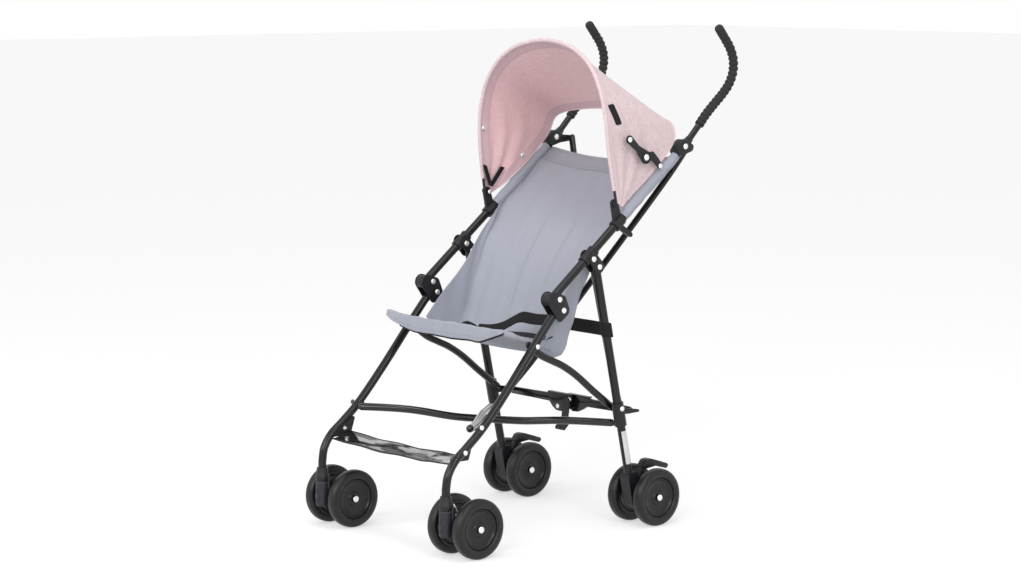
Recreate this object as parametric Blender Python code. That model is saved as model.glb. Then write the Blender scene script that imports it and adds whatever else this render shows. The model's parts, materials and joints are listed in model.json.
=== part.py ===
"""Compact umbrella stroller: a folding tube frame on four twin-wheel feet, with a
sling seat and a canopy.

Metres, +Z up.  +X is the child's left, -Y is the front, and the origin is the middle
of the floor under the object.  In the sizes below, y is measured backwards from the
front axle and h upwards from the axles.
"""
import math

import bmesh
import bpy
from mathutils import Vector
from mathutils.bvhtree import BVHTree

# Clearances
SEAT_GAP = 0.0003
RUN_GAP = 0.0006
SIDE_GAP = 0.0004

# Wheels
WHEEL_RADIUS = 0.060
WHEEL_WIDTH = 0.024
TWIN_SPACING = 0.076
RIM_RADIUS = 0.041
RIM_WIDTH = 0.015
AXLE_RADIUS = 0.004
AXLE_HEAD_RADIUS = 0.0065
AXLE_HEAD_HEIGHT = 0.0022
WHEELBASE = 0.483
CASTER_TRAIL = 0.0495

# Tubes
HALF_TRACK = 0.200
PUSH_RADIUS = 0.009
LEG_RADIUS = 0.0086
REAR_LEG_RADIUS = 0.009
RAIL_RADIUS = 0.0075
BRACE_RADIUS = 0.0064
LOWER_BAR_RADIUS = 0.0082
SHAFT_RADIUS = 0.007
GRIP_RADIUS = 0.0088
GRIP_RIB_HEIGHT = 0.0016
GRIP_RIBS = 18
GRIP_CAP_LENGTH = 0.030
TUBE_SIDES = 10

# Pivots and joints in the side frame's plane, as (y, h)
KNEE = (0.220, 0.4265)
HANDLE_JOINT = (0.585, 0.713)
REAR_PIVOT = (0.345, 0.487)
RAIL_FRONT = (0.182, 0.339)
REAR_LEG_FOOT = (WHEELBASE - 0.030, -0.014)
REAR_LEG_LEAN = (REAR_PIVOT[0] - REAR_LEG_FOOT[0]) / (REAR_PIVOT[1] - REAR_LEG_FOOT[1])
CANOPY_PIVOT = (0.395, 0.612)

# Routes of the bent tubes, as (y, h)
FRONT_LEG_ROUTE = [
    (0.2440, 0.4130), (0.1905, 0.3530), (0.1140, 0.2640), (0.0480, 0.1930),
    (0.0040, 0.1560), (-0.0260, 0.1325), (-0.0440, 0.1060), (-0.0495, 0.0780),
]
# Handle, as (distance behind the handle joint, share of its rise)
HANDLE_RISE = 0.253
SHAFT_MARKS = [
    (0.0140, 0.0474), (0.0330, 0.1225), (0.0510, 0.1937),
]
GRIP_MARKS = [
    (0.0510, 0.1937), (0.0710, 0.2767), (0.0950, 0.3597), (0.1184, 0.4368), (0.1380, 0.5178),
    (0.1495, 0.6126), (0.1507, 0.7154), (0.1410, 0.8142), (0.1250, 0.8972), (0.1032, 1.0000),
]
SHAFT_ROUTE = [(HANDLE_JOINT[0] + back, HANDLE_JOINT[1] + share * HANDLE_RISE) for back, share in SHAFT_MARKS]
GRIP_ROUTE = [(HANDLE_JOINT[0] + back, HANDLE_JOINT[1] + share * HANDLE_RISE) for back, share in GRIP_MARKS]

RAIL_ROUTE = [
    (0.182, 0.338), (0.214, 0.316), (0.245, 0.3015), (0.276, 0.2870),
    (0.312, 0.2640), (0.355, 0.2300), (0.398, 0.1980), (0.409, 0.1895),
]


def beside_rear_leg(h, behind):
    """A point at height h, this far behind the rear leg's centre line."""
    return REAR_LEG_FOOT[0] + REAR_LEG_LEAN * (h - REAR_LEG_FOOT[1]) + behind, h


RAIL_REAR = beside_rear_leg(0.1895, 0.0)

# Side frame layers, measured inboard from the frame's plane
RAIL_INSET = 0.0195
PLATE_THICKNESS = 0.0030

# Cross members: a back arm runs from one handle joint to the other rear leg
BRACE_TOP = (0.0195, 0.624, 0.718)
BRACE_FOOT = (0.022, *beside_rear_leg(0.178, 0.0254))
BRACE_STEP = 0.0071
LOWER_FRONT = (0.026, 0.034, 0.1865)
LOWER_REAR = (0.026, *beside_rear_leg(0.1554, -0.0035))
LOWER_STEP = 0.0090

# Rear lock link
LINK_LEVEL = beside_rear_leg(0.177, 0.0447)
LINK_INSET = 0.020
LINK_HEIGHT = 0.015
LINK_THICKNESS = 0.0070
LINK_LAYER = 0.0075
LINK_EYE_RADIUS = 0.0125

# Brackets
BRACKET_RADIUS = 0.0130
KNOB_RADIUS = 0.0145
SLEEVE_WALL = 0.0035
RIVET_RADIUS = 0.0048
RIVET_HEIGHT = 0.0016

# Casters
FORK_RADIUS = 0.0140
FORK_TOP = 0.0385
FORK_BOTTOM = -0.0150
COLLAR_TOP = 0.0660
HUB_RADIUS = 0.0120

# Brake pedals
BRAKE_PIVOT = beside_rear_leg(0.036, 0.0318)
PEDAL_WIDTH = 0.034
PEDAL_REACH = 0.090
PEDAL_HUB_RADIUS = 0.0099
PEDAL_OUTLINE = [
    (-0.089, -0.044), (0.033, -0.089), (0.111, 0.000), (0.333, 0.200), (0.978, 0.111),
    (1.000, 0.189), (0.667, 0.289), (0.278, 0.367), (0.044, 0.111), (-0.078, 0.056),
]

# Footrest
FOOTREST_FRONT = -0.030
FOOTREST_REAR = 0.017
FOOTREST_LEVEL = 0.1280
FOOTREST_THICKNESS = 0.0020
FOOTREST_SAG = 0.005
FOOTREST_RISE = 0.010

# Seat
SEAT_FRONT = (0.112, 0.368)
SEAT_REAR = (0.252, 0.322)
SEAT_THICKNESS = 0.020
SEAT_FRONT_HALF = 0.190
SEAT_REAR_HALF = 0.1735
CLOTH = 0.0024
SEAT_SAG = 0.026
BACK_TOP_DIP = 0.016
BACK_EDGE_ROUTE = [
    (0.578, 0.7005), (0.500, 0.6360), (0.420, 0.5640), (0.362, 0.4900),
    (0.325, 0.4050), (0.302, 0.3440), (0.284, 0.3080),
]

# Canopy
BOW_RADIUS = 0.0028
# The arch and the hem as (x as a share of the half track, y, h)
BOW_ARCH = [
    (1.0330, 0.395, 0.612), (1.0225, 0.386, 0.665), (1.0075, 0.378, 0.720), (0.9825, 0.375, 0.780),
    (0.9000, 0.375, 0.838), (0.7400, 0.378, 0.886), (0.5200, 0.381, 0.917), (0.2650, 0.384, 0.933),
    (0.0000, 0.385, 0.938),
]
REAR_HEM = [
    (1.0330, 0.412, 0.604), (0.9925, 0.446, 0.627), (0.9800, 0.500, 0.665), (0.9750, 0.564, 0.724),
    (0.9200, 0.576, 0.762), (0.7500, 0.573, 0.777), (0.5200, 0.568, 0.784), (0.2650, 0.563, 0.789),
    (0.0000, 0.560, 0.791),
]
CANOPY_BULGE = 0.004
STRETCHER_PINS = [(0.424, 0.741), (0.470, 0.703), (0.513, 0.683)]
STRETCHER_OFFSET = 0.0130
ARM_HALF = 0.0030
EYE_RADIUS = 0.0075

# Straps
STRAP_WIDTH = 0.030
STRAP_THICKNESS = 0.0018

# Worked-out places
GRIP_BACK = max(y for y, _ in GRIP_ROUTE) + GRIP_RADIUS + GRIP_RIB_HEIGHT
MID_Y = (GRIP_BACK - WHEEL_RADIUS) / 2
REAR_AXLE = (WHEELBASE, 0.0)
SIDES = {"left": 1, "right": -1}

FINISHES = {
    "black_steel": ((0.028, 0.029, 0.031), 0.35, 0.6),
    "black_plastic": ((0.025, 0.026, 0.031), 0.5, 0.0),
    "grip_rubber": ((0.018, 0.018, 0.019), 0.7, 0.0),
    "tyre": ((0.022, 0.022, 0.024), 0.55, 0.0),
    "seat_cloth": ((0.42, 0.43, 0.48), 0.85, 0.0),
    "canopy_cloth": ((0.72, 0.52, 0.53), 0.9, 0.0),
    "black_webbing": ((0.012, 0.012, 0.013), 0.8, 0.0),
    "black_vinyl": ((0.015, 0.015, 0.016), 0.12, 0.0),
}


def place(x, y, h):
    """A point from its x, its distance behind the front axle and its height over the axles."""
    return Vector((x, y - MID_Y, WHEEL_RADIUS + h))


def clear_scene():
    for old in list(bpy.data.objects):
        bpy.data.objects.remove(old, do_unlink=True)


def finish(name):
    """The Principled material of one finish."""
    material = bpy.data.materials.get(name)
    if material is None:
        colour, roughness, metallic = FINISHES[name]
        material = bpy.data.materials.new(name)
        material.use_nodes = True
        shader = material.node_tree.nodes["Principled BSDF"]
        shader.inputs["Base Color"].default_value = (*colour, 1.0)
        shader.inputs["Roughness"].default_value = roughness
        shader.inputs["Metallic"].default_value = metallic
    return material


def pivot(name, point):
    """An empty on a joint's axis, which the pieces of that body hang on."""
    empty = bpy.data.objects.new(name, None)
    empty.empty_display_size = 0.02
    empty.location = point
    bpy.context.scene.collection.objects.link(empty)
    return empty


def piece(name, shape, holder, finish_name, smooth=math.radians(35)):
    """An object from (points, faces) in world coordinates, hung on its body's empty."""
    points, faces = shape
    mesh = bpy.data.meshes.new(name)
    mesh.from_pydata([Vector(p) - holder.location for p in points], [], faces)
    bm = bmesh.new()
    bm.from_mesh(mesh)
    bmesh.ops.recalc_face_normals(bm, faces=bm.faces)
    if bm.calc_volume(signed=True) < 0:
        bmesh.ops.reverse_faces(bm, faces=bm.faces)
    bm.to_mesh(mesh)
    bm.free()
    mesh.shade_smooth()
    mesh.set_sharp_from_angle(angle=smooth)
    mesh.materials.append(finish(finish_name))
    made = bpy.data.objects.new(name, mesh)
    made.parent = holder
    bpy.context.scene.collection.objects.link(made)
    return made


def combine(target, shape, operation, label):
    """Joins a shape to a piece, or cuts it from the piece, with a Boolean modifier."""
    tool = piece(f"{target.name}_{label}", shape, target.parent, target.data.materials[0].name)
    tool.hide_render = True
    tool.display_type = "WIRE"
    modifier = target.modifiers.new(label, "BOOLEAN")
    modifier.operation = operation
    modifier.object = tool
    modifier.solver = "EXACT"


def fuse(target, shape, label):
    combine(target, shape, "UNION", label)


def cut(target, shape, label):
    combine(target, shape, "DIFFERENCE", label)


def smooth_route(points, per_span):
    """Points along a Catmull-Rom curve through the given ones."""
    points = [Vector(p) for p in points]
    first = points[0] * 2 - points[1]
    last = points[-1] * 2 - points[-2]
    ring = [first] + points + [last]
    route = []
    for i in range(1, len(ring) - 2):
        a, b, c, d = ring[i - 1:i + 3]
        for step in range(per_span):
            t = step / per_span
            route.append(0.5 * (2 * b + (c - a) * t + (2 * a - 5 * b + 4 * c - d) * t ** 2
                                + (3 * b - a - 3 * c + d) * t ** 3))
    route.append(points[-1])
    return route


def side_route(x, pairs, per_span=1):
    """A route in one side frame's plane, smoothed when per_span is over 1."""
    points = [place(x, y, h) for y, h in pairs]
    return smooth_route(points, per_span) if per_span > 1 else points


def route_frames(route):
    """For each point of a route, two unit vectors square to it that don't twist."""
    frames = []
    side = None
    for i, point in enumerate(route):
        before = route[max(i - 1, 0)]
        after = route[min(i + 1, len(route) - 1)]
        along = (after - before).normalized()
        if side is None:
            guide = Vector((1, 0, 0)) if abs(along.x) < 0.9 else Vector((0, 0, 1))
            side = (guide - along * guide.dot(along)).normalized()
        else:
            side = (side - along * side.dot(along)).normalized()
        frames.append((side, along.cross(side)))
    return frames


def tube(route, radius, sides=TUBE_SIDES):
    """A closed round bar along a route; radius is one number or one for each point."""
    radii = radius if isinstance(radius, list) else [radius] * len(route)
    points = []
    for point, (side, up), r in zip(route, route_frames(route), radii):
        for k in range(sides):
            turn = 2 * math.pi * (k + 0.5) / sides
            points.append(point + (side * math.cos(turn) + up * math.sin(turn)) * r)
    faces = []
    for i in range(len(route) - 1):
        for k in range(sides):
            n = (k + 1) % sides
            a, b = i * sides, (i + 1) * sides
            faces.append((a + k, a + n, b + n, b + k))
    faces.append(tuple(reversed(range(sides))))
    faces.append(tuple(range((len(route) - 1) * sides, len(route) * sides)))
    return points, faces


def dome_ends(route, radius, first=True, last=True):
    """A route and its radii with a round end beyond each end point, which is its centre."""
    route = [p.copy() for p in route]
    radii = [radius] * len(route)
    steps = (0.0, 0.5, 0.87)
    if last:
        along = (route[-1] - route[-2]).normalized()
        tip = route[-1]
        route = route[:-1] + [tip + along * radius * s for s in steps] + [tip + along * radius]
        radii = radii[:-1] + [radius * math.sqrt(1 - s * s) for s in steps] + [radius * 0.2]
    if first:
        back_route, back_radii = dome_ends(route[::-1], radius, first=False)
        kept = radii[::-1][:len(route) - 1]
        route = back_route[::-1]
        radii = (kept + back_radii[len(kept):])[::-1]
    return route, radii


def lathe(profile, centre, axis, sides, flats=False):
    """A ring turned about an axis; the profile is a closed loop of (radius, along).

    With flats, the radii are those of the facets' middles, and one facet faces down.
    """
    axis = Vector(axis).normalized()
    guide = Vector((0, 0, 1)) if abs(axis.z) < 0.9 else Vector((0, 1, 0))
    u = axis.cross(guide).normalized()
    v = axis.cross(u)
    grow = 1 / math.cos(math.pi / sides) if flats else 1.0
    points = []
    for k in range(sides):
        turn = 2 * math.pi * (k + (0.5 if flats else 0.0)) / sides
        out = (u * math.cos(turn) + v * math.sin(turn)) * grow
        points.extend(centre + out * r + axis * along for r, along in profile)
    count = len(profile)
    faces = []
    for k in range(sides):
        a, b = k * count, ((k + 1) % sides) * count
        for i in range(count):
            j = (i + 1) % count
            faces.append((a + i, a + j, b + j, b + i))
    return points, faces


def disc(radius, near, far, centre, axis, sides=TUBE_SIDES):
    """A plain cylinder from near to far along an axis through a centre."""
    axis = Vector(axis).normalized()
    return tube([centre + axis * near, centre + axis * far], radius, sides)


def slab(outline, x_a, x_b):
    """A flat plate: a (y, h) outline carried from one x to another."""
    count = len(outline)
    points = [place(x_a, y, h) for y, h in outline] + [place(x_b, y, h) for y, h in outline]
    faces = [tuple(range(count)), tuple(range(2 * count - 1, count - 1, -1))]
    for i in range(count):
        j = (i + 1) % count
        faces.append((i, j, count + j, count + i))
    return points, faces


def rounded(stops, steps=5):
    """The outline round a chain of circles, each (y, h, radius), as their convex hull."""
    cloud = []
    for y, h, r in stops:
        for k in range(steps * 4):
            turn = 2 * math.pi * k / (steps * 4)
            cloud.append((y + r * math.cos(turn), h + r * math.sin(turn)))
    cloud = sorted(set(cloud))

    def half(points):
        chain = []
        for p in points:
            while len(chain) > 1:
                (ay, ah), (by, bh) = chain[-2], chain[-1]
                if (by - ay) * (p[1] - ah) - (bh - ah) * (p[0] - ay) > 1e-9:
                    break
                chain.pop()
            chain.append(p)
        return chain[:-1]

    return half(cloud) + half(cloud[::-1])


def shell(rows, thickness):
    """A closed cloth sheet from a grid of points, half its thickness to each side."""
    height, width = len(rows), len(rows[0])
    fronts, backs = [], []
    for i in range(height):
        for j in range(width):
            down = rows[min(i + 1, height - 1)][j] - rows[max(i - 1, 0)][j]
            across = rows[i][min(j + 1, width - 1)] - rows[i][max(j - 1, 0)]
            normal = down.cross(across).normalized() * (thickness / 2)
            fronts.append(rows[i][j] + normal)
            backs.append(rows[i][j] - normal)
    offset = height * width
    faces = []
    for i in range(height - 1):
        for j in range(width - 1):
            a, b = i * width + j, (i + 1) * width + j
            faces.append((a, a + 1, b + 1, b))
            faces.append((offset + a, offset + b, offset + b + 1, offset + a + 1))
    rim = [j for j in range(width)]
    rim += [i * width + width - 1 for i in range(1, height)]
    rim += [(height - 1) * width + j for j in range(width - 2, -1, -1)]
    rim += [i * width for i in range(height - 2, 0, -1)]
    for k, a in enumerate(rim):
        b = rim[(k + 1) % len(rim)]
        faces.append((a, offset + a, offset + b, b))
    return fronts + backs, faces


def blend_pairs(pairs, t):
    """A (y, h) point at share t of the way along a list of such points."""
    lengths = [0.0]
    for (ya, ha), (yb, hb) in zip(pairs, pairs[1:]):
        lengths.append(lengths[-1] + math.hypot(yb - ya, hb - ha))
    goal = t * lengths[-1]
    for i in range(len(pairs) - 1):
        if goal <= lengths[i + 1] or i == len(pairs) - 2:
            f = (goal - lengths[i]) / (lengths[i + 1] - lengths[i])
            (ya, ha), (yb, hb) = pairs[i], pairs[i + 1]
            return ya + (yb - ya) * f, ha + (hb - ha) * f


def flat(radius):
    """How far a tube's flat sides lie from its axis."""
    return radius * math.cos(math.pi / TUBE_SIDES)


def on_line(start, end, share):
    return start[0] + (end[0] - start[0]) * share, start[1] + (end[1] - start[1]) * share


def rivet(target, x, spot, s, label):
    """A domed rivet head on the outer face, whose plane is at x."""
    head = disc(RIVET_RADIUS, -RIVET_HEIGHT, RIVET_HEIGHT, place(x, *spot), (s, 0, 0), 8)
    fuse(target, head, label)


def wheel(name, x, axle, holder):
    """A rubber-tyred wheel with dished rims, bored for its axle."""
    half, rim = WHEEL_WIDTH / 2, RIM_WIDTH / 2
    bore = AXLE_RADIUS + RUN_GAP
    crown = WHEEL_RADIUS
    profile = [
        (bore, -rim), (RIM_RADIUS - 0.002, -rim), (RIM_RADIUS, -half),
        (crown - 0.008, -half), (crown, -half * 0.4), (crown, half * 0.4), (crown - 0.008, half),
        (RIM_RADIUS, half), (RIM_RADIUS - 0.002, rim), (bore, rim),
    ]
    return piece(name, lathe(profile, place(x, *axle), (1, 0, 0), 24, flats=True), holder, "tyre")


def axle(target, x, spot, label):
    """The axle through both wheels of a foot, with a head at each end."""
    reach = TWIN_SPACING / 2 + RIM_WIDTH / 2 + RUN_GAP
    centre = place(x, *spot)
    fuse(target, disc(AXLE_RADIUS, -reach, reach, centre, (1, 0, 0), 10), label)
    for turn in (-1, 1):
        head = disc(AXLE_HEAD_RADIUS, reach - RUN_GAP / 2 + 0.0002, reach + AXLE_HEAD_HEIGHT,
                    centre, (turn, 0, 0), 10)
        fuse(target, head, f"{label}_head_{'in' if turn < 0 else 'out'}")


def build_push_side(side, s):
    """The upper tube of one side, its handle, and the brackets fixed to it."""
    x = s * HALF_TRACK
    body = pivot(f"joint_push_{side}", place(x, *KNEE))
    knee, top = KNEE, HANDLE_JOINT
    slope = math.atan2(top[1] - knee[1], top[0] - knee[0])
    along = Vector((0, math.cos(slope), math.sin(slope)))
    route, radii = dome_ends([place(x, *knee), place(x, *top)], PUSH_RADIUS,
                             last=False)
    piece(f"push_tube_{side}", tube(route, radii), body, "black_steel")

    joint = piece(f"handle_joint_{side}", slab(rounded([
        (top[0] - 0.016, top[1] - 0.012, 0.0135), (top[0] + 0.010, top[1] + 0.010, 0.0135),
        (BRACE_TOP[1], BRACE_TOP[2] - 0.002, 0.0065)]), x - 0.0125, x + 0.0125),
        body, "black_plastic")
    cut(joint, tube([place(x, *top) - along * 0.05, place(x, *top) + along * SEAT_GAP],
                    PUSH_RADIUS + SEAT_GAP), "tube_socket")
    shaft = side_route(x, SHAFT_ROUTE, 2)
    lean = (shaft[1] - shaft[0]).normalized()
    cut(joint, tube([shaft[0] - lean * SEAT_GAP, shaft[0] + lean * 0.05],
                    SHAFT_RADIUS + SEAT_GAP), "shaft_socket")
    rivet(joint, x + s * 0.0125, (top[0], top[1] + 0.007), s, "rivet")
    piece(f"handle_shaft_{side}", tube(shaft, SHAFT_RADIUS), body, "black_steel")
    build_grip(side, x, body)

    build_rear_pivot_bracket(side, s, x, body, along)
    build_canopy_clamp(side, s, x, body, along)
    return body


def build_grip(side, x, body):
    """The curved rubber grip: ribs along most of it and a plain end cap."""
    curve = side_route(x, GRIP_ROUTE, 6)
    spans = [0.0]
    for a, b in zip(curve, curve[1:]):
        spans.append(spans[-1] + (b - a).length)

    def at(distance):
        for i in range(len(curve) - 1):
            if distance <= spans[i + 1] or i == len(curve) - 2:
                share = (distance - spans[i]) / (spans[i + 1] - spans[i])
                return curve[i].lerp(curve[i + 1], share)

    ribbed = spans[-1] - GRIP_CAP_LENGTH
    pitch = ribbed / GRIP_RIBS
    marks = [(SEAT_GAP, GRIP_RADIUS)]
    for k in range(GRIP_RIBS):
        marks.append((pitch * (k + 0.25), GRIP_RADIUS + GRIP_RIB_HEIGHT))
        marks.append((pitch * (k + 0.75), GRIP_RADIUS))
    marks.append((ribbed + 0.002, GRIP_RADIUS + GRIP_RIB_HEIGHT * 0.7))
    marks.append((spans[-1] - 0.004, GRIP_RADIUS + GRIP_RIB_HEIGHT * 0.7))
    marks.append((spans[-1], GRIP_RADIUS * 0.7))
    route = [at(d) for d, _ in marks]
    piece(f"handle_grip_{side}", tube(route, [r for _, r in marks], 10), body, "grip_rubber")


def build_rear_pivot_bracket(side, s, x, body, along):
    """A sleeve on the upper tube with two cheeks that hold the rear leg's top."""
    share = (REAR_PIVOT[0] - 0.020 - KNEE[0]) / (HANDLE_JOINT[0] - KNEE[0])
    seat = on_line(KNEE, HANDLE_JOINT, share)
    centre = place(x, *seat)
    outer = PUSH_RADIUS + SLEEVE_WALL
    bracket = piece(f"rear_leg_bracket_{side}",
                    tube([centre - along * 0.019, centre + along * 0.019], outer),
                    body, "black_plastic")
    inner = flat(REAR_LEG_RADIUS) + SIDE_GAP
    for label, a, b in (("cheek_out", inner, inner + PLATE_THICKNESS),
                        ("cheek_in", -inner - PLATE_THICKNESS, -inner)):
        fuse(bracket, slab(rounded([(*seat, 0.0145), (*REAR_PIVOT, BRACKET_RADIUS)]),
                           x + a * s, x + b * s), label)
    cut(bracket, tube([centre - along * 0.05, centre + along * 0.05], PUSH_RADIUS + SEAT_GAP), "bore")
    face = x + s * (inner + PLATE_THICKNESS)
    rivet(bracket, face, (seat[0] + 0.004, seat[1] - 0.005), s, "rivet_upper")
    rivet(bracket, face, REAR_PIVOT, s, "rivet_lower")


def build_canopy_clamp(side, s, x, body, along):
    """A clamp on the upper tube that holds the canopy bow's end."""
    share = (CANOPY_PIVOT[0] + 0.010 - KNEE[0]) / (HANDLE_JOINT[0] - KNEE[0])
    seat = on_line(KNEE, HANDLE_JOINT, share)
    centre = place(x, *seat)
    outer = PUSH_RADIUS + SLEEVE_WALL
    clamp = piece(f"canopy_clamp_{side}",
                  tube([centre - along * 0.013, centre + along * 0.013], outer), body, "black_plastic")
    fuse(clamp, slab(rounded([(*seat, 0.011), (*CANOPY_PIVOT, 0.009)]), x - ARM_HALF, x + ARM_HALF), "arm")
    hook = slab(rounded([(seat[0] + 0.006, seat[1] - 0.008, 0.006),
                         (seat[0] + 0.034, seat[1] - 0.026, 0.005)]), x - 0.004, x + 0.004)
    fuse(clamp, hook, "hook")
    cut(clamp, tube([centre - along * 0.05, centre + along * 0.05], PUSH_RADIUS + SEAT_GAP), "bore")


def build_front_leg(side, s):
    """One front leg with its knee bracket, footrest bracket and caster collar."""
    x = s * HALF_TRACK
    body = pivot(f"joint_front_leg_{side}", place(x, *KNEE))
    stem = -CASTER_TRAIL
    route = side_route(x, FRONT_LEG_ROUTE[:-1] + [(stem, FRONT_LEG_ROUTE[-1][1])], 2)
    route.append(place(x, stem, FORK_TOP + 0.002))
    leg = piece(f"front_leg_{side}", tube(route, LEG_RADIUS), body, "black_steel")
    lug_x = x - s * (LEG_RADIUS - 0.002)
    lug_end = s * (HALF_TRACK - LOWER_FRONT[0] + LOWER_BAR_RADIUS + 0.0075)
    fuse(leg, slab(rounded([(LOWER_FRONT[1] + 0.014, LOWER_FRONT[2] + 0.004, 0.0055),
                            (LOWER_FRONT[1] + 0.004, LOWER_FRONT[2] - 0.002, 0.0055)]),
                   lug_x, lug_end), "bar_lug")

    cheek = flat(PUSH_RADIUS) + SIDE_GAP
    outline = rounded([(*KNEE, KNOB_RADIUS), (KNEE[0] + 0.024, KNEE[1] + 0.000, 0.011),
                       (KNEE[0] + 0.029, KNEE[1] - 0.020, 0.011), (KNEE[0] + 0.012, KNEE[1] - 0.040, 0.006)])
    bracket = piece(f"knee_bracket_{side}", slab(outline, x + cheek, x + cheek + PLATE_THICKNESS),
                    body, "black_plastic")
    fuse(bracket, slab(outline, x - cheek - PLATE_THICKNESS, x - cheek), "cheek_in")
    top, below = FRONT_LEG_ROUTE[0], FRONT_LEG_ROUTE[1]
    lean = math.atan2(top[1] - below[1], top[0] - below[0])
    out_y, out_h = math.sin(lean), -math.cos(lean)
    web = []
    for offset, reach in ((LEG_RADIUS + SEAT_GAP, 0.002), (LEG_RADIUS + 0.0042, 0.002),
                          (LEG_RADIUS + 0.0042, -0.030), (LEG_RADIUS + SEAT_GAP, -0.030)):
        web.append((top[0] + out_y * offset + math.cos(lean) * reach,
                    top[1] + out_h * offset + math.sin(lean) * reach))
    fuse(bracket, slab(web, x - cheek - 0.001, x + cheek + 0.001), "web")
    face = x + s * (cheek + PLATE_THICKNESS)
    rivet(bracket, face, (KNEE[0] + 0.017, KNEE[1] + 0.003), s, "rivet_upper")
    rivet(bracket, face, (KNEE[0] + 0.028, KNEE[1] - 0.020), s, "rivet_lower")

    plate_x = x - s * (LEG_RADIUS + SEAT_GAP)
    foot = piece(f"footrest_bracket_{side}",
                 slab(rounded([(FOOTREST_FRONT + 0.004, FOOTREST_LEVEL + 0.004, 0.004),
                               (FOOTREST_REAR - 0.004, FOOTREST_LEVEL + 0.004, 0.004),
                               (FOOTREST_REAR + 0.006, FOOTREST_LEVEL + 0.034, 0.004)]),
                      plate_x, plate_x - s * 0.0025), body, "black_plastic")
    rivet(foot, plate_x - s * 0.0025, (0.001, FOOTREST_LEVEL + 0.015), -s, "rivet")

    collar_inner = LEG_RADIUS + SEAT_GAP
    collar = [(collar_inner, FORK_TOP + RUN_GAP), (FORK_RADIUS, FORK_TOP + RUN_GAP),
              (FORK_RADIUS, FORK_TOP + 0.010), (LEG_RADIUS + 0.003, COLLAR_TOP), (collar_inner, COLLAR_TOP)]
    ring = piece(f"caster_collar_{side}", lathe(collar, place(x, stem, 0.0), (0, 0, 1), 16),
                 body, "black_plastic")
    fuse(ring, disc(0.0042, FORK_RADIUS - 0.004, FORK_RADIUS + 0.0025,
                    place(x, stem, FORK_TOP + 0.0085), (0.55 * s, 0.83, 0), 8), "stud")
    return body


def build_caster(side, s):
    """The swivelling fork of one front foot and its two wheels."""
    x = s * HALF_TRACK
    body = pivot(f"joint_caster_{side}", place(x, -CASTER_TRAIL, 0.0))
    column = [place(x, -CASTER_TRAIL, h) for h in (FORK_BOTTOM, FORK_BOTTOM + 0.004, FORK_TOP)]
    fork = piece(f"caster_fork_{side}", tube(column, [FORK_RADIUS - 0.003, FORK_RADIUS, FORK_RADIUS], 16),
                 body, "black_plastic")
    hub = TWIN_SPACING / 2 - WHEEL_WIDTH / 2 - 0.002
    fuse(fork, slab(rounded([(-CASTER_TRAIL, 0.006, 0.016), (0.0, 0.0, HUB_RADIUS - 0.002)]),
                    x - 0.007, x + 0.007), "arm")
    fuse(fork, disc(HUB_RADIUS, -hub, hub, place(x, 0.0, 0.0), (1, 0, 0)), "hub")
    fuse(fork, disc(AXLE_HEAD_RADIUS, -hub - 0.0060, hub + 0.0060, place(x, 0.0, 0.0), (1, 0, 0), 10), "boss")
    axle(fork, x, (0.0, 0.0), "axle")
    bodies = {}
    for spot, offset in (("outer", TWIN_SPACING / 2), ("inner", -TWIN_SPACING / 2)):
        at = x + s * offset
        bodies[spot] = pivot(f"joint_front_wheel_{side}_{spot}", place(at, 0.0, 0.0))
        wheel(f"front_wheel_{side}_{spot}", at, (0.0, 0.0), bodies[spot])
    return body


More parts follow.
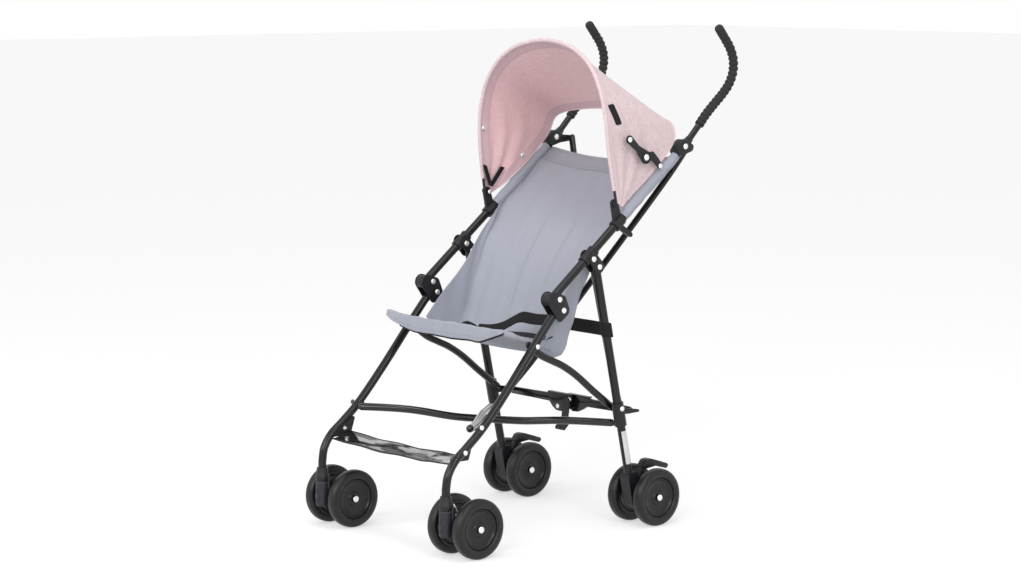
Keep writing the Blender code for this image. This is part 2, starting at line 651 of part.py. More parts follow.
def build_rear_leg(side, s):
    """One rear leg with its sleeve and axle housing, its wheels and its brake pedal."""
    x = s * HALF_TRACK
    body = pivot(f"joint_rear_leg_{side}", place(x, *REAR_PIVOT))
    route, radii = dome_ends([place(x, *REAR_PIVOT), place(x, *REAR_LEG_FOOT)],
                             REAR_LEG_RADIUS, last=False)
    piece(f"rear_leg_{side}", tube(route, radii), body, "black_steel")
    down = (place(x, *REAR_LEG_FOOT) - place(x, *REAR_PIVOT)).normalized()

    middle = place(x, *RAIL_REAR) + down * 0.013
    outer = REAR_LEG_RADIUS + SLEEVE_WALL
    sleeve = piece(f"rear_leg_sleeve_{side}", tube([middle - down * 0.025, middle + down * 0.025], outer),
                   body, "black_plastic")
    link_end = s * (HALF_TRACK - LINK_INSET + LINK_HEIGHT / 2)
    link_layer = LINK_LEVEL[0] + LINK_LAYER + LINK_THICKNESS / 2
    fuse(sleeve, slab(rounded([(RAIL_REAR[0] + 0.008, RAIL_REAR[1] - 0.008, 0.008),
                               (link_layer + 0.0030, BRACE_FOOT[2] - 0.001, 0.0028)]),
                      x - s * 0.004, link_end + s * SIDE_GAP), "rear_ear")
    bar_end = s * (HALF_TRACK - LOWER_REAR[0] + LOWER_BAR_RADIUS + SIDE_GAP)
    lug = disc(0.0055, 0.0, 0.0095, Vector((bar_end, 0, 0)) + place(0.0, *LOWER_REAR[1:]), (s, 0, 0))
    fuse(sleeve, lug, "bar_lug")
    cut(sleeve, tube([middle - down * 0.06, middle + down * 0.06], REAR_LEG_RADIUS + SEAT_GAP), "bore")
    rivet(sleeve, x + s * (outer - 0.0006), RAIL_REAR, s, "rivet")

    spot = REAR_AXLE
    hub = TWIN_SPACING / 2 - WHEEL_WIDTH / 2 - 0.002
    near = REAR_LEG_FOOT
    mouth = on_line(REAR_LEG_FOOT, REAR_PIVOT, 0.135)
    housing = piece(f"rear_axle_housing_{side}",
                    slab(rounded([(near[0], near[1] + 0.004, 0.015), (spot[0], spot[1], HUB_RADIUS + 0.002),
                                  (mouth[0] + 0.002, mouth[1] - 0.012, 0.0125)]), x - 0.0135, x + 0.0135),
                    body, "black_plastic")
    fuse(housing, disc(HUB_RADIUS, -hub, hub, place(x, *spot), (1, 0, 0)), "hub")
    fuse(housing, disc(AXLE_HEAD_RADIUS, -hub - 0.0060, hub + 0.0060, place(x, *spot), (1, 0, 0), 10), "boss")
    axle(housing, x, spot, "axle")
    cut(housing, tube([place(x, *near) + down * SEAT_GAP, place(x, *near) - down * 0.12],
                      REAR_LEG_RADIUS + SEAT_GAP), "bore")
    cut(housing, slab(rounded([(*BRAKE_PIVOT, PEDAL_HUB_RADIUS + 0.0007)], 4), x - PEDAL_WIDTH / 2 - 0.001,
                      x + PEDAL_WIDTH / 2 + 0.001), "pedal_seat")

    pedal_body = pivot(f"joint_brake_{side}", place(x, *BRAKE_PIVOT))
    outline = [(BRAKE_PIVOT[0] + a * PEDAL_REACH, BRAKE_PIVOT[1] + b * PEDAL_REACH)
               for a, b in PEDAL_OUTLINE]
    pedal = piece(f"brake_pedal_{side}", slab(outline, x - PEDAL_WIDTH / 2, x + PEDAL_WIDTH / 2),
                  pedal_body, "black_plastic")
    half = PEDAL_WIDTH / 2 - 0.0002
    fuse(pedal, disc(PEDAL_HUB_RADIUS, -half, half, place(x, *BRAKE_PIVOT), (1, 0, 0), 16), "hub")
    for name, offset in (("outer", TWIN_SPACING / 2), ("inner", -TWIN_SPACING / 2)):
        at = x + s * offset
        wheel_body = pivot(f"joint_rear_wheel_{side}_{name}", place(at, *spot))
        wheel(f"rear_wheel_{side}_{name}", at, spot, wheel_body)
    return body


def build_rail(side, s):
    """The curved rail under one side of the seat, with flattened pinned ends."""
    x = s * (HALF_TRACK - RAIL_INSET)
    body = pivot(f"joint_seat_rail_{side}", place(x, *RAIL_REAR))
    route, radii = dome_ends(side_route(x, [RAIL_FRONT] + RAIL_ROUTE[1:-1] + [RAIL_REAR]), RAIL_RADIUS)
    piece(f"seat_rail_{side}", tube(route, radii), body, "black_steel")


def build_brace(side, s):
    """A back arm, from one handle joint behind the seat to the other rear leg."""
    step = BRACE_STEP * s
    top = place(s * (HALF_TRACK - BRACE_TOP[0]), BRACE_TOP[1], BRACE_TOP[2])
    foot = place(-s * (HALF_TRACK - BRACE_FOOT[0]), BRACE_FOOT[1], BRACE_FOOT[2])
    along = foot - top
    normal = along.cross(Vector((-along.x, along.y, along.z))).normalized()
    if normal.y < 0:
        normal.negate()
    lift = normal * step
    body = pivot(f"joint_back_brace_{side}", top)
    middle = (top + foot) / 2 + lift
    share = 0.30
    route = [top, top.lerp(middle, share) + lift * 0.6, middle, foot.lerp(middle, share) + lift * 0.6, foot]
    route, radii = dome_ends(route, BRACE_RADIUS)
    arm = piece(f"back_brace_{side}", tube(route, radii), body, "black_steel")
    fuse(arm, disc(0.0052, 0.003, BRACE_RADIUS + 0.0016, middle, normal * s, 8), "centre_rivet")


def build_lower_bar(side, s):
    """A lower cross bar, from one rear leg to the other front leg, bowed at the middle."""
    rear = place(s * (HALF_TRACK - LOWER_REAR[0]), LOWER_REAR[1], LOWER_REAR[2])
    front = place(-s * (HALF_TRACK - LOWER_FRONT[0]), LOWER_FRONT[1], LOWER_FRONT[2])
    body = pivot(f"joint_lower_bar_{side}", rear)
    drop = Vector((0, 0, -LOWER_STEP * s))
    middle = (rear + front) / 2 + drop
    knots = [rear, rear.lerp(middle, 0.45) + drop * 0.15, rear.lerp(middle, 0.8) + drop * 0.17, middle,
             front.lerp(middle, 0.8) + drop * 0.17, front.lerp(middle, 0.45) + drop * 0.15, front]
    route, radii = dome_ends(smooth_route(knots, 2), LOWER_BAR_RADIUS)
    piece(f"lower_bar_{side}", tube(route, radii), body, "black_steel")


def build_lock_links():
    """The two halves of the rear lock link and its foot lever."""
    y, h = LINK_LEVEL
    for side, s in SIDES.items():
        outer = s * (HALF_TRACK - LINK_INSET)
        layer = y + LINK_LAYER / 2 * s
        body = pivot(f"joint_lock_link_{side}", place(outer, layer, h))
        bar = slab_across([(outer, h, LINK_HEIGHT / 2), (0.0, h, LINK_EYE_RADIUS)],
                          layer - LINK_THICKNESS / 2, layer + LINK_THICKNESS / 2)
        link = piece(f"lock_link_{side}", bar, body, "black_steel")
        fuse(link, disc(RIVET_RADIUS, LINK_THICKNESS / 2 - 0.001, LINK_THICKNESS / 2 + RIVET_HEIGHT,
                        place(0.0, layer, h), (0, s, 0), 8), "rivet")
    lever = pivot("joint_lock_pedal", place(0.0, y, h))
    front = y - LINK_LAYER / 2 - LINK_THICKNESS / 2 - RIVET_HEIGHT - SIDE_GAP
    body = slab_across([(0.002, h - 0.004, 0.010), (-0.006, h - 0.052, 0.009)], front - 0.0035, front)
    pedal = piece("lock_pedal", body, lever, "black_plastic")
    fuse(pedal, slab(rounded([(front - 0.003, h - 0.048, 0.0045), (front - 0.014, h - 0.058, 0.0045)]),
                     -0.016, 0.008), "pad")


def slab_across(stops, y_a, y_b):
    """A flat plate facing backwards: circles (x, h, radius) and its two y planes."""
    outline = rounded(stops)
    count = len(outline)
    points = [place(x, y_a, h) for x, h in outline] + [place(x, y_b, h) for x, h in outline]
    faces = [tuple(range(count)), tuple(range(2 * count - 1, count - 1, -1))]
    for i in range(count):
        j = (i + 1) % count
        faces.append((i, j, count + j, count + i))
    return points, faces


def build_footrest():
    """The vinyl strip between the front legs, sagging a little at the middle."""
    body = pivot("joint_footrest", place(0.0, *KNEE))
    half = HALF_TRACK - LEG_RADIUS - 0.0032
    rows = []
    for i in range(3):
        y = FOOTREST_FRONT + (FOOTREST_REAR - FOOTREST_FRONT) * i / 2
        row = []
        for j in range(13):
            across = -1 + 2 * j / 12
            dip = FOOTREST_SAG * (1 - across ** 2) + 0.0015 * math.sin(j * 1.9 + i)
            row.append(place(half * across, y, FOOTREST_LEVEL - 0.003 - dip + FOOTREST_RISE * i / 2))
        rows.append(row)
    piece("footrest_strip", shell(rows, FOOTREST_THICKNESS), body, "black_vinyl")


def build_seat(root):
    """The sling back with its side gussets, the padded base and the straps."""
    rows = []
    tube_line = [(HANDLE_JOINT[0] - 0.022, HANDLE_JOINT[1] - 0.017), (KNEE[0] + 0.060, KNEE[1] + 0.020),
                 (KNEE[0] + 0.060, KNEE[1] - 0.075), (SEAT_REAR[0] + 0.012, SEAT_REAR[1] - 0.022)]
    steps = 15
    side_x = HALF_TRACK - PUSH_RADIUS - SLEEVE_WALL - CLOTH / 2 - SEAT_GAP
    rail_x = HALF_TRACK - RAIL_INSET - RAIL_RADIUS - CLOTH / 2
    for i in range(steps):
        t = i / (steps - 1)
        hang_y, hang_h = blend_pairs(tube_line, t)
        back_y, back_h = blend_pairs(BACK_EDGE_ROUTE, t)
        edge_x = side_x + (rail_x - side_x) * min(1.0, max(0.0, (t - 0.35) / 0.25))
        sag = SEAT_SAG * (0.35 + 0.65 * math.sin(math.pi * min(1.0, t * 1.15)))
        dip = BACK_TOP_DIP * max(0.0, 1 - t * 3.2)
        row = []
        for j in range(-9, 10):
            across = abs(j) / 9
            sign = 1 if j >= 0 else -1
            if abs(j) == 9:
                row.append(place(sign * edge_x, hang_y, hang_h))
                continue
            bow = 1 - (across * 9 / 8) ** 2
            fold = 0.0035 * math.sin(j * 1.75 + t * 2.2) * math.sin(math.pi * t) * (1 - across ** 4)
            slide = dip * bow
            row.append(place(sign * (edge_x - 0.004) * min(1.0, across * 9 / 8),
                             back_y + (sag * bow + fold) * 0.62 - slide * 0.79,
                             back_h - (sag * bow + fold) * 0.78 - slide * 0.62))
        rows.append(row)
    piece("seat_back", shell(rows, CLOTH), root, "seat_cloth")

    build_seat_base(root)
    strap_half = SEAT_REAR_HALF * 0.62
    belt = []
    for a in [math.radians(-80 + 16 * k) for k in range(11)]:
        share = 0.34 - 0.15 * math.cos(2 * a)
        y, h = on_line(SEAT_REAR, SEAT_FRONT, share)
        lift = SEAT_THICKNESS / 2 + 0.0072 + 0.005 * math.cos(3 * a)
        belt.append(place(strap_half * math.sin(a), y, h + lift))
    rows = [[p + Vector((0, -0.010, 0.002)) for p in belt], [p + Vector((0, 0.012, 0.006)) for p in belt]]
    piece("harness_strap", shell(rows, STRAP_THICKNESS), root, "black_webbing")


def build_seat_base(root):
    """The padded base: wide in front of the legs and narrower between the rails."""
    rows_top, rows_low = [], []
    count_y, count_x = 9, 13
    for i in range(count_y):
        t = i / (count_y - 1)
        y, h = on_line(SEAT_FRONT, SEAT_REAR, t)
        wide = SEAT_FRONT_HALF if t < 0.30 else SEAT_REAR_HALF
        end = 1 - (2 * t - 1) ** 8
        top, low = [], []
        for j in range(count_x):
            a = -1 + 2 * j / (count_x - 1)
            edge = 1 - a ** 6
            crown = SEAT_THICKNESS / 2 * (0.30 + 0.70 * edge * end)
            crown *= 0.90 + 0.10 * math.cos(j * math.pi * 2 / 3)
            top.append(place(wide * a, y, h + crown))
            low.append(place(wide * a, y, h - crown * 0.8))
        rows_top.append(top)
        rows_low.append(low)
    points = [p for row in rows_top for p in row] + [p for row in rows_low for p in row]
    offset = count_y * count_x
    faces = []
    for i in range(count_y - 1):
        for j in range(count_x - 1):
            a, b = i * count_x + j, (i + 1) * count_x + j
            faces.append((a, a + 1, b + 1, b))
            faces.append((offset + a, offset + b, offset + b + 1, offset + a + 1))
    rim = [j for j in range(count_x)]
    rim += [i * count_x + count_x - 1 for i in range(1, count_y)]
    rim += [(count_y - 1) * count_x + j for j in range(count_x - 2, -1, -1)]
    rim += [i * count_x for i in range(count_y - 2, 0, -1)]
    for k, a in enumerate(rim):
        b = rim[(k + 1) % len(rim)]
        faces.append((a, offset + a, offset + b, b))
    piece("seat_base", (points, faces), root, "seat_cloth")


def build_rear_strap():
    """The webbing across the rear legs behind the seat, looped round each leg."""
    body = pivot("joint_rear_strap", place(0.0, *REAR_PIVOT))
    low = 0.340
    reach = HALF_TRACK - flat(REAR_LEG_RADIUS) - SIDE_GAP
    rows = []
    for h in (low, low + STRAP_WIDTH):
        share = (REAR_PIVOT[1] - h) / (REAR_PIVOT[1] - REAR_LEG_FOOT[1])
        y, _ = on_line(REAR_PIVOT, REAR_LEG_FOOT, share)
        rows.append([place(reach * a / 4, y + 0.003 + 0.008 * (1 - (a / 4) ** 2), h) for a in range(-4, 5)])
    piece("rear_strap", shell(rows, STRAP_THICKNESS), body, "black_webbing")


def build_canopy():
    """The canopy: its bow, the cloth from the bow to the rear hem, and the stretchers."""
    body = pivot("joint_canopy_bow", place(0.0, *CANOPY_PIVOT))
    arch, hem = [], []
    for route, line in ((BOW_ARCH, arch), (REAR_HEM, hem)):
        half = [(share * HALF_TRACK, y, h) for share, y, h in route]
        knots = [place(*p) for p in half] + [place(-x, y, h) for x, y, h in half[-2::-1]]
        line.extend(smooth_route(knots, 2))
    bow = piece("canopy_bow", tube(arch, BOW_RADIUS, 6), body, "black_steel")
    for side, s in SIDES.items():
        eye = disc(EYE_RADIUS, ARM_HALF + SEAT_GAP, ARM_HALF + 0.0036,
                   place(s * HALF_TRACK, *CANOPY_PIVOT), (s, 0, 0))
        fuse(bow, eye, f"eye_{side}")
    heart = place(0.0, 0.47, 0.66)
    rows = []
    steps = 8
    for i in range(steps):
        t = i / (steps - 1)
        row = []
        for j, (a, b) in enumerate(zip(arch, hem)):
            clear = EYE_RADIUS if j in (0, len(arch) - 1) else BOW_RADIUS
            run = (arch[min(j + 1, len(arch) - 1)] - arch[max(j - 1, 0)]).normalized()
            away = (b - a) - run * (b - a).dot(run)
            point = (a + away.normalized() * (clear + RUN_GAP)).lerp(b, t)
            out = point - heart
            out.normalize()
            v = j / (len(arch) - 1)
            swell = CANOPY_BULGE * math.sin(math.pi * t) * math.sin(math.pi * v) ** 2.4
            swell += 0.0030 * math.sin(9 * math.pi * v) * math.sin(math.pi * t)
            row.append(point + out * swell)
        rows.append(row)
    cover = shell(rows, CLOTH)
    piece("canopy_shell", cover, body, "canopy_cloth")
    skin = BVHTree.FromPolygons(*cover)

    for side, s in SIDES.items():
        x = s * (HALF_TRACK + STRETCHER_OFFSET)
        upper, middle, lower = STRETCHER_PINS
        for name, a, b, inner, wide in (("upper", upper, middle, 0.0, 0.0080),
                                        ("lower", middle, lower, -0.0032, 0.0072)):
            link_body = pivot(f"joint_stretcher_{name}_{side}", place(x, *(a if name == "upper" else b)))
            link = piece(f"canopy_stretcher_{name}_{side}",
                         slab(rounded([(*a, wide), (*b, 0.0098 if name == "upper" else wide)], 4),
                              x + s * inner, x + s * (inner + 0.0026)), link_body, "black_plastic")
            if name == "upper":
                rivet(link, x + s * 0.0026, a, s, "rivet_top")
                rivet(link, x + s * 0.0026, b, s, "rivet_middle")
            else:
                spot = place(x + s * 0.02, *b)
                depth = min(skin.ray_cast(spot + Vector((0, dy, dh)), (-s, 0, 0))[3]
                            for dy in (-0.003, 0, 0.003) for dh in (-0.003, 0, 0.003))
                fuse(link, disc(0.0030, SEAT_GAP - depth, -0.0206, spot, (s, 0, 0), 8), "cloth_pin")
                rivet(link, x - s * 0.0006, b, s, "rivet_low")


def main():
    clear_scene()
    root = pivot("seat_and_cover", place(0.0, *KNEE))
    for side, s in SIDES.items():
        build_push_side(side, s)
        build_front_leg(side, s)
        build_caster(side, s)
        build_rear_leg(side, s)
        build_rail(side, s)
        build_brace(side, s)
        build_lower_bar(side, s)
    build_lock_links()
    build_footrest()
    build_seat(root)
    build_rear_strap()
    build_canopy()


main()
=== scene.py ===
"""The looks of a compact travel stroller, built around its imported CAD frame.

Every length is in metres. A place in the side plane is (y, h): y runs back from the front axle and h is
the height over the axles.
"""
from __future__ import annotations

import json
import logging
import math
from collections.abc import Callable, Iterable, Sequence
from dataclasses import dataclass, field
from enum import Enum

import bpy
import numpy as np
from mathutils import Matrix, Vector

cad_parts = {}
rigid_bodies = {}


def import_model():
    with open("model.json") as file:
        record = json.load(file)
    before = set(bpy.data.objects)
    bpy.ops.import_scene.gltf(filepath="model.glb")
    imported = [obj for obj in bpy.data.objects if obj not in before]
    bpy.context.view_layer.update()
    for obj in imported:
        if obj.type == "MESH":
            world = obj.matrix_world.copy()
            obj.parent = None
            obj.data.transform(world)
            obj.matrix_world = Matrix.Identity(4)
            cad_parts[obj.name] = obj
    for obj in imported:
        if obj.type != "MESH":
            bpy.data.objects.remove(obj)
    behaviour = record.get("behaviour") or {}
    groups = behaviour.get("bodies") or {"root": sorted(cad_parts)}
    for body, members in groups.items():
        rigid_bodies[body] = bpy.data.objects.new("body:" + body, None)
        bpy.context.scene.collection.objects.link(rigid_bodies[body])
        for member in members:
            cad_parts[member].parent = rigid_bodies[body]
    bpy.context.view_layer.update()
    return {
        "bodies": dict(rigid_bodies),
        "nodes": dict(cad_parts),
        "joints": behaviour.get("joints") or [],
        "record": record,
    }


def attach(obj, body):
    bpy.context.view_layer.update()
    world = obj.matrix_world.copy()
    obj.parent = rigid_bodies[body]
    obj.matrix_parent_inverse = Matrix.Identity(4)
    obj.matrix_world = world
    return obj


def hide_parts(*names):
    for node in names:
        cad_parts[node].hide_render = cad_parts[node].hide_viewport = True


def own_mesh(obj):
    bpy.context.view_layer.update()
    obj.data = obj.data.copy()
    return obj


log = logging.getLogger("stroller")

Pair = tuple[float, float]
Place = tuple[float, float, float]
Outline = Sequence[Pair]
Piece = bpy.types.Object
Paint = bpy.types.Material

MID_Y = 0.34305
WHEEL_RADIUS = 0.060
HALF_TRACK = 0.200
TWIN_SPACING = 0.076
SEAT_BODY = "seat_and_cover"
HINGED_BODY = "rear_strap"
NO_HEM = 0.2
SEAT_KEEP = 0.385
CANOPY_KEEP = 0.435

KNEE: Pair = (0.220, 0.4265)
HANDLE_JOINT: Pair = (0.585, 0.713)
REAR_PIVOT: Pair = (0.345, 0.487)
REAR_LEG_FOOT: Pair = (0.453, -0.014)
RAIL_FRONT: Pair = (0.182, 0.339)
RAIL_REAR: Pair = (0.4091, 0.1895)
CANOPY_PIVOT: Pair = (0.395, 0.612)
REAR_AXLE: Pair = (0.483, 0.0)
CASTER_TRAIL = 0.0495
WHITE = (1.0, 1.0, 1.0, 1.0)


class Side(Enum):
    """The two sides of the stroller and the sign of their x."""

    LEFT = 1
    RIGHT = -1

    @property
    def word(self) -> str:
        """The side's name as the CAD nodes spell it."""
        return self.name.lower()

    @property
    def x(self) -> float:
        """The x of the side frame's plane."""
        return self.value * HALF_TRACK


def at(x: float, y: float, h: float) -> Vector:
    """A point in the row frame from its x and its place in the side plane."""
    return Vector((x, y - MID_Y, WHEEL_RADIUS + h))


def on_line(start: Pair, end: Pair, share: float) -> Pair:
    """The point at this share of the way from start to end."""
    return start[0] + (end[0] - start[0]) * share, start[1] + (end[1] - start[1]) * share


def curve_through(points: Iterable[Sequence[float]], per_span: int) -> list[Vector]:
    """Points along a Catmull-Rom curve.

    Args:
        points: The places that the curve goes through.
        per_span: How many points each span gets.

    Returns:
        The curve's points, the last given one included.
    """
    knots = [Vector(p) for p in points]
    ring = [knots[0] * 2 - knots[1], *knots, knots[-1] * 2 - knots[-2]]
    route: list[Vector] = []
    for a, b, c, d in zip(ring, ring[1:], ring[2:], ring[3:]):
        for step in range(per_span):
            t = step / per_span
            route.append(0.5 * (2 * b + (c - a) * t + (2 * a - 5 * b + 4 * c - d) * t ** 2
                                + (3 * b - a - 3 * c + d) * t ** 3))
    return route + [knots[-1]]


def maths_method(operation: str) -> Callable[..., "Signal"]:
    """A method that adds one Math node on a signal and what it is given."""

    def method(self: "Signal", *others: "Signal | float") -> "Signal":
        """The result of the Math node."""
        return self.graph.maths(operation, self, *others)

    return method


@dataclass(frozen=True)
class Signal:
    """One output of a shader graph, with the arithmetic of a number."""

    graph: "Graph"
    socket: bpy.types.NodeSocket

    __add__ = __radd__ = maths_method("ADD")
    __mul__ = __rmul__ = maths_method("MULTIPLY")
    __sub__ = maths_method("SUBTRACT")
    __abs__ = maths_method("ABSOLUTE")
    sine = maths_method("SINE")
    below = maths_method("LESS_THAN")
    above = maths_method("GREATER_THAN")

    def __rsub__(self, other: float) -> "Signal":
        """The difference from a plain number."""
        return self.graph.maths("SUBTRACT", other, self)

    def spread(self, low: float, high: float, to_low: float = 0.0, to_high: float = 1.0) -> "Signal":
        """The signal carried from one range to another, and kept inside it."""
        return self.graph.node("ShaderNodeMapRange", {"clamp": True}, {
            "Value": self, "From Min": low, "From Max": high, "To Min": to_low, "To Max": to_high})


class Graph:
    """The node graph of a material or of the world."""

    def __init__(self, owner: Paint | bpy.types.World) -> None:
        """Starts an empty graph under its owner."""
        self.owner = owner
        owner.use_nodes = True
        self.tree = owner.node_tree
        self.tree.nodes.clear()

    def node(self, kind: str, settings: dict | None = None, inputs: dict | None = None,
             output: int | str = 0) -> Signal:
        """Adds one node.

        Args:
            kind: The node's type.
            settings: Its settings, which are set first.
            inputs: The values or signals of its sockets, by name or number.
            output: The output to hand back.

        Returns:
            The signal of that output.
        """
        made = self.tree.nodes.new(kind)
        for key, value in (settings or {}).items():
            setattr(made, key, value)
        for key, value in (inputs or {}).items():
            socket = made.inputs[key]
            if isinstance(value, Signal):
                self.tree.links.new(value.socket, socket)
            else:
                socket.default_value = value
        return Signal(self, made.outputs[output])

    def maths(self, operation: str, *terms: Signal | float) -> Signal:
        """A Math node on these terms."""
        return self.node("ShaderNodeMath", {"operation": operation}, dict(enumerate(terms)))

    def mix(self, share: Signal | float, first: Signal | tuple, second: Signal | tuple) -> Signal:
        """One colour blended into another."""
        full = [(*c, 1.0) if isinstance(c, tuple) else c for c in (first, second)]
        return self.node("ShaderNodeMix", {"data_type": "RGBA"}, {0: share, 6: full[0], 7: full[1]}, 2)

    def place(self) -> Signal:
        """The place on the piece, in metres."""
        return self.node("ShaderNodeTexCoord", output="Object")

    def along(self, name: str) -> tuple[Signal, Signal]:
        """The two directions of a UV map, in metres."""
        flat = self.node("ShaderNodeUVMap", {"uv_map": name})
        split = self.node("ShaderNodeSeparateXYZ", inputs={0: flat})
        return split, Signal(self, split.socket.node.outputs[1])

    def noise(self, where: Signal, scale: float, detail: float = 3.0, rough: float = 0.55) -> Signal:
        """Soft noise from nought to one."""
        return self.node("ShaderNodeTexNoise", {"normalize": True}, {
            "Vector": where, "Scale": scale, "Detail": detail, "Roughness": rough})

    def stretched(self, where: Signal, scale: tuple[float, float, float]) -> Signal:
        """The same places, scaled differently along each axis."""
        return self.node("ShaderNodeMapping", {"vector_type": "POINT"}, {"Vector": where, "Scale": scale})

    def bump(self, height: Signal, depth: float, strength: float = 1.0) -> Signal:
        """The normal that a height in nought to one gives."""
        return self.node("ShaderNodeBump", inputs={"Height": height, "Distance": depth, "Strength": strength})

    def shader(self, **inputs: Signal | float | tuple) -> Signal:
        """The Principled shader, its sockets written with underscores for spaces."""
        named = {key.replace("_", " "): value for key, value in inputs.items()}
        named = {key: (*value, 1.0) if isinstance(value, tuple) and len(value) == 3 else value
                 for key, value in named.items()}
        return self.node("ShaderNodeBsdfPrincipled", inputs=named)

    def rays(self, *kinds: str) -> Signal:
        """How many of these kinds a ray is of."""
        path = self.node("ShaderNodeLightPath", output=f"Is {kinds[0]} Ray")
        total = path
        for kind in kinds[1:]:
            total = total + Signal(self, path.socket.node.outputs[f"Is {kind} Ray"])
        return total

    def close(self, shader: Signal) -> Paint | bpy.types.World:
        """Ends the graph in this shader and hands back its owner."""
        kind = "World" if isinstance(self.owner, bpy.types.World) else "Material"
        output = self.tree.nodes.new(f"ShaderNodeOutput{kind}")
        self.tree.links.new(shader.socket, output.inputs["Surface"])
        return self.owner


@dataclass(frozen=True)
class Finish:
    """A finish that pieces can wear."""

    name: str
    colour: tuple[float, float, float]

    def build(self) -> Paint:
        """The material of the finish, made once."""
        known = bpy.data.materials.get(self.name)
        return known or self.paint(Graph(bpy.data.materials.new(self.name)))

    def paint(self, graph: Graph) -> Paint:
        """Fills the graph."""
        raise NotImplementedError

    def tone(self, share: float) -> tuple[float, ...]:
        """The finish's colour, made darker or lighter."""
        return tuple(min(1.0, c * share) for c in self.colour)


@dataclass(frozen=True)
class PowderCoat(Finish):
    """Black powder-coated steel with a fine orange peel and rubbed patches."""

    roughness: float = 0.33
    coat: float = 0.18

    def paint(self, graph: Graph) -> Paint:
        """Mottled colour, uneven gloss and a fine bump."""
        place = graph.place()
        mottle = graph.noise(place, 24.0, 4.0)
        peel = graph.noise(place, 900.0, 2.0, 0.6)
        rub = graph.noise(place, 62.0, 5.0, 0.7).spread(0.60, 0.78)
        base = graph.mix(mottle, self.tone(0.82), self.tone(1.2))
        base = graph.mix(rub * 0.18, base, self.tone(2.4))
        gloss = mottle * 0.12 + rub * 0.10 + (self.roughness - 0.06)
        return graph.close(graph.shader(Base_Color=base, Roughness=gloss, Metallic=0.0, IOR=1.36,
                                        Coat_Weight=self.coat, Coat_Roughness=0.05,
                                        Normal=graph.bump(peel, 0.00004, 0.4)))


@dataclass(frozen=True)
class Moulded(Finish):
    """Spark-eroded black plastic, a little bluish."""

    roughness: float = 0.5
    grain: float = 1500.0

    def paint(self, graph: Graph) -> Paint:
        """Grained bump, cloudy colour and scuffed gloss."""
        place = graph.place()
        cloud = graph.noise(place, 38.0, 3.0)
        grain = graph.noise(place, self.grain, 2.0, 0.65)
        scuff = graph.noise(graph.stretched(place, (1.0, 3.5, 1.0)), 90.0, 5.0, 0.7).spread(0.62, 0.75)
        base = graph.mix(cloud, self.tone(0.85), self.tone(1.18))
        base = graph.mix(scuff * 0.15, base, self.tone(2.2))
        gloss = cloud * 0.10 + scuff * 0.12 + grain * 0.08 + (self.roughness - 0.10)
        return graph.close(graph.shader(Base_Color=base, Roughness=gloss, IOR=1.40,
                                        Normal=graph.bump(grain, 0.00008, 0.6)))


@dataclass(frozen=True)
class Foamed(Finish):
    """The closed-cell foam of the tyres or the rubber of the grips."""

    roughness: float = 0.62
    dust: float = 0.25

    def paint(self, graph: Graph) -> Paint:
        """Dusty, finely pitted rubber."""
        place = graph.place()
        cloud = graph.noise(place, 30.0, 4.0)
        pits = graph.noise(place, 1100.0, 3.0, 0.7)
        dust = graph.noise(place, 140.0, 5.0, 0.7).spread(0.52, 0.80)
        base = graph.mix(cloud, self.tone(0.80), self.tone(1.2))
        base = graph.mix(dust * self.dust, base, self.tone(3.0))
        return graph.close(graph.shader(Base_Color=base, Roughness=cloud * 0.12 + dust * 0.15 + self.roughness,
                                        IOR=1.42, Normal=graph.bump(pits, 0.00012, 0.5)))


@dataclass(frozen=True)
class BrightSteel(Finish):
    """Zinc-plated rivets, axle heads and wire."""

    roughness: float = 0.22

    def paint(self, graph: Graph) -> Paint:
        """Bright metal with faint tarnish and fine scratches."""
        place = graph.place()
        tarnish = graph.noise(place, 260.0, 4.0)
        scratch = graph.noise(graph.stretched(place, (1.0, 1.0, 9.0)), 900.0, 3.0, 0.7)
        base = graph.mix(tarnish, self.tone(0.86), self.colour)
        return graph.close(graph.shader(Base_Color=base, Metallic=1.0,
                                        Roughness=tarnish * 0.14 + scratch * 0.10 + self.roughness,
                                        Normal=graph.bump(scratch, 0.00003, 0.4)))


